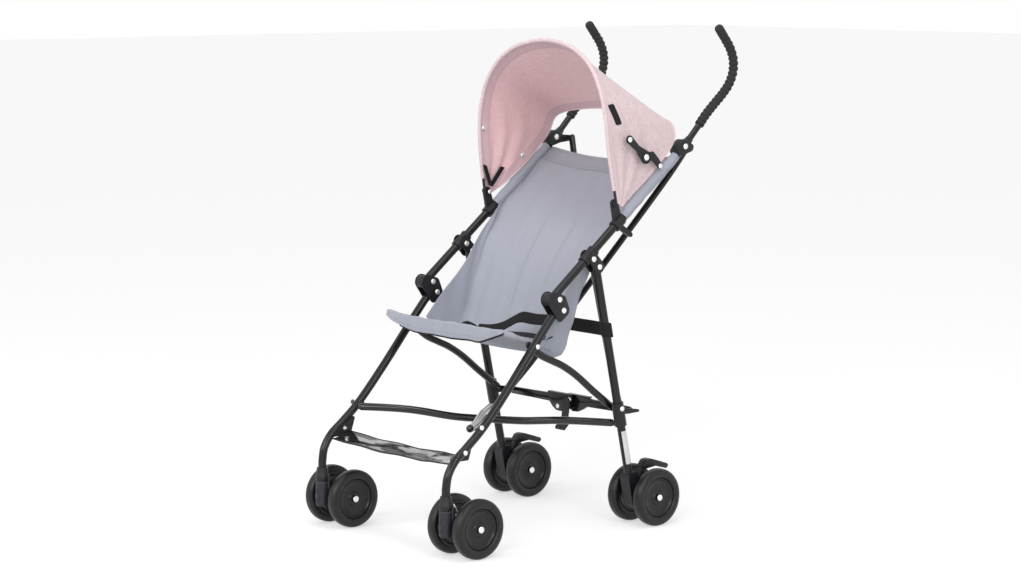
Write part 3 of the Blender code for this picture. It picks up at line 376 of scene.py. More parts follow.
@dataclass(frozen=True)
class Woven(Finish):
    """Plain-woven polyester, laid along the cloth's own UV map."""

    pitch: float = 0.0011
    slub: float = 0.10
    heather: tuple[float, float, float] | None = None
    hem: tuple[float, float, float] | None = None
    hem_width: float = 0.0
    sheen: float = 0.25
    contrast: float = 1.0

    def paint(self, graph: Graph) -> Paint:
        """Threads, slubs, heather flecks, the hem's band, its stitches, and painted shade along the seam's groove."""
        across, down = graph.along("cloth")
        turns = 2 * math.pi / self.pitch
        warp = (across * turns).sine()
        weft = (down * turns).sine()
        over = ((across + down) * (turns / 2)).sine().above(0.0)
        threads = abs(warp) * over + abs(weft) * (1 - over)
        flat = graph.node("ShaderNodeCombineXYZ", inputs={0: across, 1: down})
        streak = graph.noise(graph.stretched(flat, (60.0, 520.0, 1.0)), 1.0, 3.0, 0.6)
        thread = graph.noise(graph.stretched(flat, (700.0, 90.0, 1.0)), 1.0, 2.0, 0.6)
        cloud = graph.noise(flat, 7.0, 4.0, 0.6)
        tone = streak * self.slub + thread * self.slub * 0.6 + cloud * 0.10
        low = 1 - 0.10 * self.contrast
        base = graph.mix(tone, self.tone(low), self.tone(1.12))
        if self.heather:
            fleck = (streak * thread).spread(0.24, 0.36)
            base = graph.mix(fleck * 0.55, base, self.heather)
        height = threads * 0.55 + streak * 0.3
        edge = graph.node("ShaderNodeAttribute", {"attribute_name": "edge"}, output="Fac")
        if self.hem:
            band = edge.spread(self.hem_width - 0.0006, self.hem_width + 0.0006, 1.0, 0.0)
            base = graph.mix(band * 0.8, base, self.hem)
            height = height + band * 1.2
        seam = abs(edge - max(self.hem_width - 0.0022, 0.0075))
        stitch = seam.below(0.0005) * (((across + down) * (2 * math.pi / 0.0042)).sine().above(-0.35))
        groove = seam.spread(0.0, 0.0018, 1.0, 0.0)
        base = graph.mix(stitch * 0.35, base, self.tone(0.55))
        # The groove also darkens the colour here: painted shade in the seam's recess, on top of its bump.
        base = graph.mix(groove * 0.16, base, self.tone(0.45))
        height = height + stitch * 0.9 - groove * 1.1
        return graph.close(graph.shader(
            Base_Color=base, Roughness=thread * 0.10 + 0.80, IOR=1.45, Sheen_Weight=self.sheen,
            Sheen_Roughness=0.45, Normal=graph.bump(height, 0.00035, 0.55)))


@dataclass(frozen=True)
class Webbing(Finish):
    """Tight black belt webbing with ribs across it."""

    def paint(self, graph: Graph) -> Paint:
        """Ribs along the belt's own UV map, with paler worn patches."""
        across, down = graph.along("cloth")
        ribs = abs((down * (math.pi / 0.0016)).sine())
        chevron = abs(((across + down * 0.5) * (math.pi / 0.0022)).sine())
        wear = graph.noise(graph.place(), 180.0, 4.0, 0.7)
        base = graph.mix(ribs * 0.5 + wear * 0.3, self.colour, self.tone(2.2))
        return graph.close(graph.shader(Base_Color=base, Roughness=wear * 0.15 + 0.62, IOR=1.30, Sheen_Weight=0.03,
                                        Normal=graph.bump(ribs * 0.7 + chevron * 0.3, 0.00030, 0.7)))


@dataclass(frozen=True)
class GlossVinyl(Finish):
    """The glossy coated cloth of the footrest."""

    def paint(self, graph: Graph) -> Paint:
        """A wet gloss over soft creases."""
        across, down = graph.along("cloth")
        flat = graph.node("ShaderNodeCombineXYZ", inputs={0: across, 1: down})
        crease = graph.noise(graph.stretched(flat, (9.0, 26.0, 1.0)), 1.0, 2.0, 0.5)
        grain = graph.noise(flat, 1400.0, 2.0, 0.6)
        base = graph.mix(crease, self.tone(0.8), self.tone(1.5))
        patch = graph.noise(graph.stretched(flat, (8.0, 30.0, 1.0)), 1.0, 2.0, 0.6).spread(0.485, 0.515)
        edge = graph.node("ShaderNodeAttribute", {"attribute_name": "edge"}, output="Fac").above(0.004)
        return graph.close(graph.shader(Base_Color=base, Roughness=grain * 0.04 + 0.06, IOR=1.35,
                                        Coat_Weight=patch * edge, Coat_IOR=3.4, Coat_Roughness=0.03,
                                        Normal=graph.bump(crease * 0.99 + grain * 0.01, 0.0050, 0.5)))


class Look(Enum):
    """Every finish of the stroller."""

    FRAME = PowderCoat("frame_powder_coat", (0.0070, 0.0071, 0.0073), 0.22)
    BAR = PowderCoat("bar_gloss_coat", (0.0030, 0.0030, 0.0032), 0.11, coat=0.6)
    PLASTIC = Moulded("moulded_plastic", (0.0105, 0.0108, 0.0130), 0.42)
    HOUSING = Moulded("caster_housing_plastic", (0.0220, 0.0235, 0.0310), 0.46, 2200.0)
    DISC = Moulded("wheel_disc_plastic", (0.0075, 0.0075, 0.0080), 0.26)
    GRIP = Foamed("grip_rubber", (0.0075, 0.0075, 0.0080), 0.42, 0.06)
    TYRE = Foamed("tyre_foam", (0.0080, 0.0080, 0.0085), 0.30, 0.07)
    STEEL = BrightSteel("zinc_plate", (0.93, 0.93, 0.92), 0.30)
    SEAT = Woven("seat_weave", (0.405, 0.425, 0.492), slub=0.16)
    SEAT_HEM = Woven("seat_weave_hem", (0.375, 0.380, 0.436), slub=0.16)
    CANOPY = Woven("canopy_weave", (0.790, 0.610, 0.630), slub=0.55, heather=(0.95, 0.86, 0.87),
                   hem=(0.82, 0.64, 0.66), hem_width=0.014, sheen=0.30, contrast=2.0)
    # The inside copy of the canopy cloth is painted lighter and pinker than the outside: painted light, standing in for
    # the light that shines through the thin cloth into the shaded hood.
    CANOPY_INNER = Woven("canopy_weave_inner", (0.960, 0.610, 0.615), slub=0.50, heather=(0.99, 0.80, 0.81),
                         hem=(0.700, 0.500, 0.540), hem_width=0.024, sheen=0.2,
                         contrast=2.0)
    WEBBING = Webbing("belt_webbing", (0.0060, 0.0060, 0.0066))
    VINYL = GlossVinyl("footrest_vinyl", (0.014, 0.014, 0.015))
    PALE = Moulded("blank_film", (0.72, 0.72, 0.71), 0.35, 400.0)


class Bench:
    """Models pieces with Blender's own operators and leaves each at the origin."""

    @staticmethod
    def clear_selection() -> None:
        """Leaves nothing selected."""
        if bpy.context.object and bpy.context.object.mode != "OBJECT":
            bpy.ops.object.mode_set(mode="OBJECT")
        for chosen in list(bpy.context.selected_objects):
            chosen.select_set(False)

    @classmethod
    def hold(cls, piece: Piece) -> Piece:
        """Makes the piece the only selected and the active one."""
        cls.clear_selection()
        piece.select_set(True)
        bpy.context.view_layer.objects.active = piece
        return piece

    @classmethod
    def clean(cls, piece: Piece, gap: float = 0.00002) -> Piece:
        """Merges doubles and turns every face outwards."""
        cls.hold(piece)
        bpy.ops.object.mode_set(mode="EDIT")
        bpy.ops.mesh.select_all(action="SELECT")
        bpy.ops.mesh.remove_doubles(threshold=gap)
        bpy.ops.mesh.normals_make_consistent(inside=False)
        bpy.ops.object.mode_set(mode="OBJECT")
        return piece

    @classmethod
    def smooth(cls, piece: Piece, degrees: float = 40.0) -> Piece:
        """Shades the piece smooth, with edges sharper than this kept."""
        cls.hold(piece)
        bpy.ops.object.shade_smooth_by_angle(angle=math.radians(degrees))
        return piece

    @classmethod
    def modify(cls, piece: Piece, kind: str, apply: bool = True, **settings: object) -> None:
        """Gives the piece a modifier with these settings, and applies it unless told otherwise."""
        made = piece.modifiers.new(kind.lower(), kind)
        for key, value in settings.items():
            setattr(made, key, value)
        if apply:
            cls.hold(piece)
            bpy.ops.object.modifier_apply(modifier=made.name)

    @staticmethod
    def map_cloth(mesh: bpy.types.Mesh, flat: np.ndarray, edge: np.ndarray) -> None:
        """Gives a mesh what the cloth finishes read: a UV map in metres and the attribute "edge"."""
        corners = np.empty(len(mesh.loops), np.int32)
        mesh.loops.foreach_get("vertex_index", corners)
        layer = mesh.uv_layers.new(name="cloth")
        layer.data.foreach_set("uv", flat.reshape(-1, 2)[corners].astype(np.float32).ravel())
        mark = mesh.attributes.new("edge", "FLOAT", "POINT")
        mark.data.foreach_set("value", edge.astype(np.float32).ravel())

    @staticmethod
    def places(mesh: bpy.types.Mesh) -> np.ndarray:
        """The places of a mesh's vertices."""
        return np.array([vertex.co for vertex in mesh.vertices])

    @classmethod
    def tube(cls, name: str, route: Sequence[Vector], radius: float | Sequence[float], sides: int = 24,
             dome: tuple[bool, bool] = (False, False)) -> Piece:
        """A tube along a route.

        Args:
            name: The piece's name.
            route: The points of its centre line.
            radius: One radius, or one for each point.
            sides: How many sides the tube has.
            dome: Whether each end is rounded beyond its point.

        Returns:
            The closed tube.
        """
        points = [Vector(p) for p in route]
        radii = [radius] * len(points) if isinstance(radius, float) else list(radius)
        arcs = [math.radians(a) for a in (18, 38, 58, 76, 88)]
        if dome[0]:
            back, r = (points[0] - points[1]).normalized(), radii[0]
            points = [points[0] + back * r * math.sin(a) for a in arcs[::-1]] + points
            radii = [r * math.cos(a) for a in arcs[::-1]] + radii
        if dome[1]:
            on, r = (points[-1] - points[-2]).normalized(), radii[-1]
            points += [points[-1] + on * r * math.sin(a) for a in arcs]
            radii += [r * math.cos(a) for a in arcs]
        cls.clear_selection()
        bpy.ops.curve.primitive_nurbs_path_add()
        path = bpy.context.object
        line = path.data
        line.splines.clear()
        spline = line.splines.new("POLY")
        spline.points.add(len(points) - 1)
        for knot, point, r in zip(spline.points, points, radii):
            knot.co = (*point, 1.0)
            knot.radius = r
        line.dimensions = "3D"
        line.twist_mode = "MINIMUM"
        line.bevel_depth = 1.0
        line.bevel_resolution = sides // 2 - 2
        line.use_fill_caps = True
        path.location = (0, 0, 0)
        bpy.ops.object.convert(target="MESH")
        made = bpy.context.object
        made.name = made.data.name = name
        return cls.smooth(cls.clean(made), 46)

    @classmethod
    def turned(cls, name: str, profile: Outline, centre: Vector, axis: Sequence[float],
               steps: int = 48) -> Piece:
        """A closed profile of (radius, height) spun round an axis."""
        cls.clear_selection()
        bpy.ops.mesh.primitive_circle_add(vertices=len(profile), radius=1.0, fill_type="NOTHING")
        made = bpy.context.object
        for vertex, (r, a) in zip(made.data.vertices, profile):
            vertex.co = (r, 0.0, a)
        bpy.ops.object.mode_set(mode="EDIT")
        bpy.ops.mesh.select_all(action="SELECT")
        bpy.ops.mesh.spin(steps=steps, angle=2 * math.pi, center=(0, 0, 0), axis=(0, 0, 1))
        bpy.ops.object.mode_set(mode="OBJECT")
        turn = Vector((0, 0, 1)).rotation_difference(Vector(axis).normalized())
        made.data.transform(Matrix.Translation(centre) @ turn.to_matrix().to_4x4())
        made.name = made.data.name = name
        return cls.smooth(cls.clean(made), 38)

    @classmethod
    def plate(cls, name: str, outline: Outline, x_from: float, x_to: float,
              edge: float = 0.0006) -> Piece:
        """A plate in the side plane, extruded across it and bevelled."""
        cls.clear_selection()
        bpy.ops.mesh.primitive_circle_add(vertices=len(outline), radius=1.0, fill_type="NGON")
        made = bpy.context.object
        for vertex, (y, h) in zip(made.data.vertices, outline):
            vertex.co = at(x_from, y, h)
        bpy.ops.object.mode_set(mode="EDIT")
        bpy.ops.mesh.select_all(action="SELECT")
        bpy.ops.mesh.extrude_region_move(TRANSFORM_OT_translate={"value": (x_to - x_from, 0, 0)})
        bpy.ops.object.mode_set(mode="OBJECT")
        made.name = made.data.name = name
        cls.clean(made)
        cls.modify(made, "BEVEL", width=edge, segments=2, limit_method="ANGLE", angle_limit=math.radians(35))
        return cls.smooth(made, 32)

    @classmethod
    def joined(cls, name: str, parts: Sequence[Piece]) -> Piece:
        """Several parts as one piece."""
        cls.clear_selection()
        for part in parts:
            part.select_set(True)
        bpy.context.view_layer.objects.active = parts[0]
        if len(parts) > 1:
            bpy.ops.object.join()
        made = bpy.context.object
        made.name = made.data.name = name
        return made

    @classmethod
    def cloth(cls, name: str, grid: np.ndarray, thickness: float, edge: np.ndarray | None = None,
              levels: int = 1, inner: bool = False, begin: float = 0.0,
              taper: np.ndarray | None = None) -> Piece:
        """A sheet of cloth over a grid of points.

        Args:
            name: The piece's name.
            grid: Points as rows, columns and x, y, z.
            thickness: How thick the cloth is.
            edge: How far each point lies from the nearest hem, by rows and columns.
            levels: How often the sheet is subdivided.
            inner: Whether the inside takes the second material.
            begin: Where the UV map starts along the rows, in metres.
            taper: The share of the full thickness that each row has.

        Returns:
            The sheet, with a UV map in metres and the attribute "edge".
        """
        rows, columns = grid.shape[:2]
        mesh = bpy.data.meshes.new(name)
        faces = [(i * columns + j, i * columns + j + 1, (i + 1) * columns + j + 1, (i + 1) * columns + j)
                 for i in range(rows - 1) for j in range(columns - 1)]
        mesh.from_pydata(grid.reshape(-1, 3).tolist(), [], faces)
        across = np.zeros((rows, columns))
        down = np.zeros((rows, columns))
        across[:, 1:] = np.cumsum(np.linalg.norm(np.diff(grid, axis=1), axis=2), axis=1)
        down[1:, :] = np.cumsum(np.linalg.norm(np.diff(grid, axis=0), axis=2), axis=0)
        across -= across.mean(axis=1, keepdims=True)
        down[:] = down.mean(axis=1, keepdims=True) + begin
        far = np.full((rows, columns), NO_HEM) if edge is None else edge
        cls.map_cloth(mesh, np.stack([across, down], axis=-1), far)
        made = bpy.data.objects.new(name, mesh)
        bpy.context.scene.collection.objects.link(made)
        settings: dict[str, object] = {"thickness": thickness, "offset": 0.0, "use_quality_normals": True}
        if taper is not None:
            group = made.vertex_groups.new(name="taper")
            for i, share in enumerate(taper):
                group.add(list(range(i * columns, (i + 1) * columns)), float(share), "REPLACE")
            settings["vertex_group"] = group.name
        if inner:
            settings.update(material_offset=1, material_offset_rim=0)
            mesh.materials.append(None)
            mesh.materials.append(None)
        cls.modify(made, "SOLIDIFY", **settings)
        if levels:
            cls.modify(made, "SUBSURF", levels=levels, render_levels=levels)
        return cls.smooth(made, 60)


def edge_distance(grid: np.ndarray, sides: str = "tblr") -> np.ndarray:
    """How far each point of a grid lies from its hems.

    Args:
        grid: Points as rows, columns and x, y, z.
        sides: Which of the top, bottom, left and right edges have a hem.

    Returns:
        The distance in metres, by rows and columns.
    """
    down = np.zeros(grid.shape[:2])
    across = np.zeros(grid.shape[:2])
    down[1:] = np.cumsum(np.linalg.norm(np.diff(grid, axis=0), axis=2), axis=0)
    across[:, 1:] = np.cumsum(np.linalg.norm(np.diff(grid, axis=1), axis=2), axis=1)
    far = np.full(grid.shape[:2], NO_HEM)
    for key, gap in (("t", down), ("b", down[-1:] - down), ("l", across), ("r", across[:, -1:] - across)):
        if key in sides:
            far = np.minimum(far, gap)
    return far


def sheet_facts(grid: np.ndarray) -> tuple[Pair, float]:
    """The flat size and area that a grid of cloth was cut to."""
    cell_a = np.cross(grid[1:, :-1] - grid[:-1, :-1], grid[:-1, 1:] - grid[:-1, :-1])
    cell_b = np.cross(grid[1:, :-1] - grid[1:, 1:], grid[:-1, 1:] - grid[1:, 1:])
    area = (np.linalg.norm(cell_a, axis=2).sum() + np.linalg.norm(cell_b, axis=2).sum()) / 2
    width = np.linalg.norm(np.diff(grid, axis=1), axis=2).sum(axis=1).max()
    length = np.linalg.norm(np.diff(grid, axis=0), axis=2).sum(axis=0).max()
    return (float(width), float(length)), float(min(area, width * length))


def declare(piece: Piece, grid: np.ndarray, held: str, *rests_on: str,
            trims: Sequence[Piece] = ()) -> None:
    """Measures the flat size and area that a sheet of cloth was cut to, and does nothing more with them."""
    flat, area = sheet_facts(grid)


def dress(piece: Piece, look: Look, slot: str, body: str, *nodes: str,
          inner: Look | None = None, keep: float | None = None) -> Piece:
    """Gives a new piece its finish and body.

    Args:
        piece: The finished mesh.
        look: Its finish.
        slot: The record's material slot; it is not used.
        body: The CAD body that it rides on.
        nodes: The CAD nodes that it stands for.
        inner: The finish of the inside, where it has one.
        keep: When given, the piece gets a mesh of its own; the share of its width is not used.

    Returns:
        The piece.
    """
    slots = piece.data.materials
    kinds = [polygon.material_index for polygon in piece.data.polygons]
    slots.clear()
    slots.append(look.value.build())
    if inner:
        slots.append(inner.value.build())
        piece.data.polygons.foreach_set("material_index", kinds)
    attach(piece, body)
    if nodes:
        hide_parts(*nodes)
    if keep:
        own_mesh(piece)
    log.info("%s rides on %s", piece.name, body)
    return piece


def round_outline(circles: Sequence[tuple[float, float, float]], steps: int = 10) -> list[Pair]:
    """The hull of circles (y, h, radius) as an outline."""
    cloud = [(y + r * math.cos(a), h + r * math.sin(a)) for y, h, r in circles
             for a in (2 * math.pi * k / (steps * 3) for k in range(steps * 3))]
    cloud.sort()

    def half(points: Iterable[Pair]) -> list[Pair]:
        """One side of the hull."""
        out: list[Pair] = []
        for p in points:
            while len(out) > 1 and ((out[-1][0] - out[-2][0]) * (p[1] - out[-2][1])
                                    - (out[-1][1] - out[-2][1]) * (p[0] - out[-2][0])) <= 0:
                out.pop()
            out.append(p)
        return out[:-1]

    return half(cloud) + half(reversed(cloud))


RIVET_PROFILE: Outline = ((0.0, -0.0004), (0.0054, -0.0004), (0.0055, 0.0004), (0.0051, 0.0013),
                          (0.0040, 0.0021), (0.0022, 0.0026), (0.0, 0.0028))


@dataclass
class RivetSet:
    """The bright rivet heads that ride on one body."""

    name: str
    body: str
    heads: list[Piece] = field(default_factory=list)

    def add(self, centre: Vector, axis: Sequence[float], size: float = 1.0) -> None:
        """Sets one rivet head on a face.

        Args:
            centre: A point on the face.
            axis: The way that the head faces.
            size: Its size against the plain one.
        """
        profile = [(r * size, a * size) for r, a in RIVET_PROFILE]
        self.heads.append(Bench.turned("rivet_head", profile, centre, axis, 20))

    def close(self) -> Piece:
        """Joins the heads and dresses them."""
        return dress(Bench.joined(self.name, self.heads), Look.STEEL, "black_steel", self.body)


@dataclass
class PushSide:
    """One upper tube with its handle, grip and brackets."""

    side: Side
    tube_radius: float = 0.0088
    shaft_radius: float = 0.0069
    grip_radius: float = 0.0086
    rib_height: float = 0.0021
    ribs: int = 20
    cap_length: float = 0.034
    cheek: float = 0.0091
    seat: Pair = on_line(KNEE, HANDLE_JOINT, 0.28767)
    handle_rise: float = 0.253
    shaft_marks: Outline = ((0.0140, 0.0474), (0.0330, 0.1225), (0.0510, 0.1937))
    grip_marks: Outline = ((0.0510, 0.1937), (0.0710, 0.2767), (0.0950, 0.3597), (0.1184, 0.4368),
                           (0.1380, 0.5178), (0.1495, 0.6126), (0.1507, 0.7154), (0.1410, 0.8142),
                           (0.1250, 0.8972), (0.1032, 1.0000))

    @property
    def body(self) -> str:
        """The CAD body of this side's push frame."""
        return f"push_frame_{self.side.word}"

    def handle_route(self, marks: Outline, per_span: int) -> list[Vector]:
        """A route up the handle from marks of distance back and share of the rise."""
        return curve_through([at(self.side.x, HANDLE_JOINT[0] + back, HANDLE_JOINT[1] + share * self.handle_rise)
                              for back, share in marks], per_span)

    def build(self) -> None:
        """Builds and dresses the side."""
        word, x, s = self.side.word, self.side.x, self.side.value
        tube = Bench.tube(f"upper_tube_{word}", [at(x, *KNEE), at(x, *HANDLE_JOINT)], self.tube_radius,
                          28, (True, False))
        dress(tube, Look.FRAME, "black_steel", self.body, f"push_tube_{word}")
        shaft = Bench.tube(f"handle_stem_{word}", self.handle_route(self.shaft_marks, 4), self.shaft_radius, 24)
        dress(shaft, Look.FRAME, "black_steel", self.body, f"handle_shaft_{word}")
        self.build_grip()
        self.build_brackets(x, s)
        self.build_rivets(x, s)
        self.build_casing(x)

    def build_grip(self) -> None:
        """The curved grip: round ribs along most of it, a collar, and a plain end cap."""
        curve = self.handle_route(self.grip_marks, 10)
        spans = np.concatenate([[0.0], np.cumsum([(b - a).length for a, b in zip(curve, curve[1:])])])
        points = np.array(curve)
        ribbed = spans[-1] - self.cap_length
        pitch = (ribbed - 0.008) / self.ribs
        marks = [(0.0004, self.grip_radius + 0.0012), (0.0062, self.grip_radius + 0.0014),
                 (0.0070, self.grip_radius - 0.0010)]
        for rib in range(self.ribs):
            start = 0.008 + pitch * rib
            for share, lift in ((0.04, -0.0004), (0.16, 0.55), (0.34, 0.95), (0.50, 1.0), (0.66, 0.95),
                                (0.84, 0.55), (0.96, -0.0004)):
                marks.append((start + pitch * share, self.grip_radius + self.rib_height * lift - 0.0006))
        plain = self.grip_radius + 0.0010
        marks += [(ribbed + 0.001, plain - 0.0004), (ribbed + 0.003, plain), (spans[-1] - 0.008, plain),
                  (spans[-1] - 0.004, plain * 0.93), (spans[-1] - 0.0012, plain * 0.72), (spans[-1], plain * 0.4)]
        route = [Vector([np.interp(d, spans, points[:, k]) for k in range(3)]) for d, _ in marks]
        grip = Bench.tube(f"grip_{self.side.word}", route, [r for _, r in marks], 28)
        dress(grip, Look.GRIP, "grip_rubber", self.body, f"handle_grip_{self.side.word}")

    def build_rivets(self, x: float, s: int) -> None:
        """The rivets of the handle joint, the leg bracket and the canopy clamp."""
        rivets = RivetSet(f"push_rivets_{self.side.word}", self.body)
        face = self.cheek + 0.0030
        for turn in (s, -s):
            rivets.add(at(x + turn * 0.0124, HANDLE_JOINT[0], HANDLE_JOINT[1] + 0.007), (turn, 0, 0), 1.15)
            rivets.add(at(x + turn * face, self.seat[0] + 0.004, self.seat[1] - 0.005), (turn, 0, 0), 1.1)
            rivets.add(at(x + turn * face, *REAR_PIVOT), (turn, 0, 0), 1.1)
        rivets.add(at(x - s * 0.0064, CANOPY_PIVOT[0] + 0.004, CANOPY_PIVOT[1] - 0.002), (-s, 0, 0), 0.9)
        rivets.close()

    def build_brackets(self, x: float, s: int) -> None:
        """The handle joint, the rear leg's bracket and the canopy clamp."""
        word = self.side.word
        block = Bench.plate("block", round_outline([(0.5735, 0.7115, 0.0112), (0.5850, 0.7240, 0.0105),
                                                    (0.6010, 0.7165, 0.0088)]), x - 0.0122, x + 0.0122, 0.0024)
        ear = Bench.plate("ear", round_outline([(0.600, 0.7160, 0.0088), (0.624, 0.7160, 0.0065)]),
                          x - s * 0.0118, x - s * 0.0090, 0.0008)
        stem = self.handle_route(self.shaft_marks, 4)
        lean = (stem[1] - stem[0]).normalized()
        cup = Bench.tube("cup", [stem[0] - lean * 0.010, stem[0] + lean * 0.004, stem[0] + lean * 0.0065,
                                 stem[0] + lean * 0.013], [0.0112, 0.0108, 0.0088, 0.0082], 24)
        dress(Bench.joined(f"handle_block_{word}", [block, ear, cup]), Look.PLASTIC, "black_plastic", self.body,
              f"handle_joint_{word}")
        along = (at(x, *HANDLE_JOINT) - at(x, *KNEE)).normalized()
        centre = at(x, *self.seat)
        collar = [(-0.0190, 0.0112), (-0.0186, 0.0122), (-0.0135, 0.0124), (-0.0130, 0.0116), (0.0130, 0.0116),
                  (0.0135, 0.0124), (0.0186, 0.0122), (0.0190, 0.0112)]
        sleeve = Bench.tube("sleeve", [centre + along * d for d, _ in collar], [r for _, r in collar], 28)
        cheeks = [Bench.plate("cheek", round_outline([(*self.seat, 0.0128), (*REAR_PIVOT, 0.0132)]),
                              x + turn * self.cheek, x + turn * (self.cheek + 0.0030), 0.0012) for turn in (1, -1)]
        dress(Bench.joined(f"leg_bracket_{word}", [sleeve, *cheeks]), Look.PLASTIC, "black_plastic", self.body,
              f"rear_leg_bracket_{word}")

    def build_casing(self, x: float) -> None:
        """The sleeve of seat cloth that is threaded on the upper tube."""
        low, high = on_line(KNEE, HANDLE_JOINT, 0.545), on_line(KNEE, HANDLE_JOINT, 0.955)
        rows = []
        axis = (at(x, *high) - at(x, *low)).normalized()
        up = Vector((1, 0, 0)).cross(axis)
        for t in np.linspace(0, 1, 34):
            centre = at(x, *on_line(low, high, t))
            row = []
            for a in np.linspace(0, 2 * math.pi, 25):
                r = 0.0100 + 0.0007 * math.sin(5 * a + 9 * t) * math.sin(math.pi * t) + 0.0005 * math.sin(31 * t + a)
                row.append(centre + (Vector((math.cos(a), 0, 0)) + up * math.sin(a)) * r)
            rows.append(row)
        grid = np.array(rows)
        casing = Bench.cloth(f"tube_casing_{self.side.word}", grid, 0.0008, edge_distance(grid, "tb"))
        dress(casing, Look.SEAT, "seat_cloth", self.body)
        declare(casing, grid, "stretched", f"upper_tube_{self.side.word}")


@dataclass
class FrontLeg:
    """One bent front leg with its knee housing, caster collar, rivets and wire clip."""

    side: Side
    radius: float = 0.0085
    route: Outline = ((0.2440, 0.4130), (0.1905, 0.3530), (0.1140, 0.2640), (0.0480, 0.1930),
                      (0.0040, 0.1560), (-0.0260, 0.1325), (-0.0440, 0.1060), (-0.0495, 0.0780))
    stud_height: float = 0.047
    stud_way: Pair = (0.55, 0.83)

    def stud(self, distance: float) -> tuple[Vector, Vector]:
        """The place this far from the collar's axis towards its stud, and the way that the stud faces."""
        way = Vector((self.stud_way[0] * self.side.value, self.stud_way[1], 0))
        return at(self.side.x, -CASTER_TRAIL, self.stud_height) + way * distance, way

    def build(self) -> None:
        """Builds and dresses the leg."""
        word, x, s = self.side.word, self.side.x, self.side.value
        body = f"front_leg_{word}"
        route = curve_through([at(x, y, h) for y, h in self.route], 6)
        route.append(at(x, -CASTER_TRAIL, 0.0405))
        leg = Bench.tube(f"front_tube_{word}", route, self.radius, 28, (True, False))
        lug = Bench.plate("lug", round_outline([(0.048, 0.1905, 0.0055), (0.038, 0.1845, 0.0055)]),
                          x - s * 0.0066, x - s * 0.0103, 0.0008)
        dress(Bench.joined(f"front_tube_{word}", [leg, lug]), Look.FRAME, "black_steel", body,
              f"front_leg_{word}")
        self.build_knee(x, body)
        self.build_collar(x, body)
        rivets = RivetSet(f"front_rivets_{word}", body)
        for turn in (s, -s):
            rivets.add(at(x + turn * 0.0121, KNEE[0] + 0.017, KNEE[1] + 0.003), (turn, 0, 0), 1.1)
            rivets.add(at(x + turn * 0.0121, KNEE[0] + 0.028, KNEE[1] - 0.020), (turn, 0, 0), 1.1)
        for y, h in ((0.0359, 0.1924), (-0.0061, 0.1472), RAIL_FRONT):
            rivets.add(at(x + s * (self.radius - 0.0006), y, h), (s, 0, 0), 0.95)
        rivets.add(at(x - s * 0.0113, 0.001, 0.143), (-s, 0, 0), 0.9)
        rivets.add(*self.stud(0.0152), 0.8)
        rivets.close()
        self.build_clip(s, body)

    def build_knee(self, x: float, body: str) -> None:
        """The knee bracket: two lobed cheeks and the wall that joins them in front of the tube."""
        outline = round_outline([(0.2225, 0.4290, 0.0162), (0.2440, 0.4265, 0.0115), (0.2500, 0.4065, 0.0135),
                                 (0.2390, 0.3930, 0.0090)], 12)
        parts = [Bench.plate("cheek", outline, x + turn * 0.0091, x + turn * 0.0121, 0.0012) for turn in (1, -1)]
        turns = [math.radians(a) for a in np.linspace(104, 225, 14)]
        wall = [(0.2225 + 0.0154 * math.cos(a), 0.4290 + 0.0154 * math.sin(a)) for a in turns]
        wall += [(KNEE[0] + 0.0106 * math.cos(a), KNEE[1] + 0.0106 * math.sin(a)) for a in turns[::-1]]
        parts.append(Bench.plate("wall", wall, x - 0.0096, x + 0.0096, 0.0010))
        dress(Bench.joined(f"knee_housing_{self.side.word}", parts), Look.PLASTIC, "black_plastic", body,
              f"knee_bracket_{self.side.word}")

    def build_collar(self, x: float, body: str) -> None:
        """The moulded collar at the leg's foot, with the stud of the swivel lock."""
        foot = at(x, -CASTER_TRAIL, 0.0)
        profile = ((0.0, 0.0388), (0.0138, 0.0388), (0.0142, 0.0396), (0.0142, 0.0470), (0.0136, 0.0500),
                   (0.0122, 0.0530), (0.0118, 0.0640), (0.0112, 0.0660), (0.0, 0.0660))
        ring = Bench.turned("ring", profile, foot, (0, 0, 1), 32)
        knob = ((0.0, -0.002), (0.0044, -0.002), (0.0044, 0.0022), (0.0036, 0.0028), (0.0, 0.0028))
        stud = Bench.turned("stud", knob, *self.stud(0.0128), 20)
        dress(Bench.joined(f"swivel_collar_{self.side.word}", [ring, stud]), Look.PLASTIC, "black_plastic", body,
              f"caster_collar_{self.side.word}")

    def build_clip(self, s: int, body: str) -> None:
        """The small wire clip that hangs from the caster collar's stud."""
        stud, _ = self.stud(0.0175)
        hang = [(0.0, 0.0), (0.0012, -0.003), (0.0030, -0.008), (0.0045, -0.013), (0.0035, -0.017), (0.0005, -0.0185)]
        route = curve_through([stud + Vector((s * a * 0.6, a, b)) for a, b in hang], 4)
        clip = Bench.tube(f"swivel_clip_{self.side.word}", route, 0.0007, 10, (True, True))
        dress(clip, Look.STEEL, "black_steel", body)


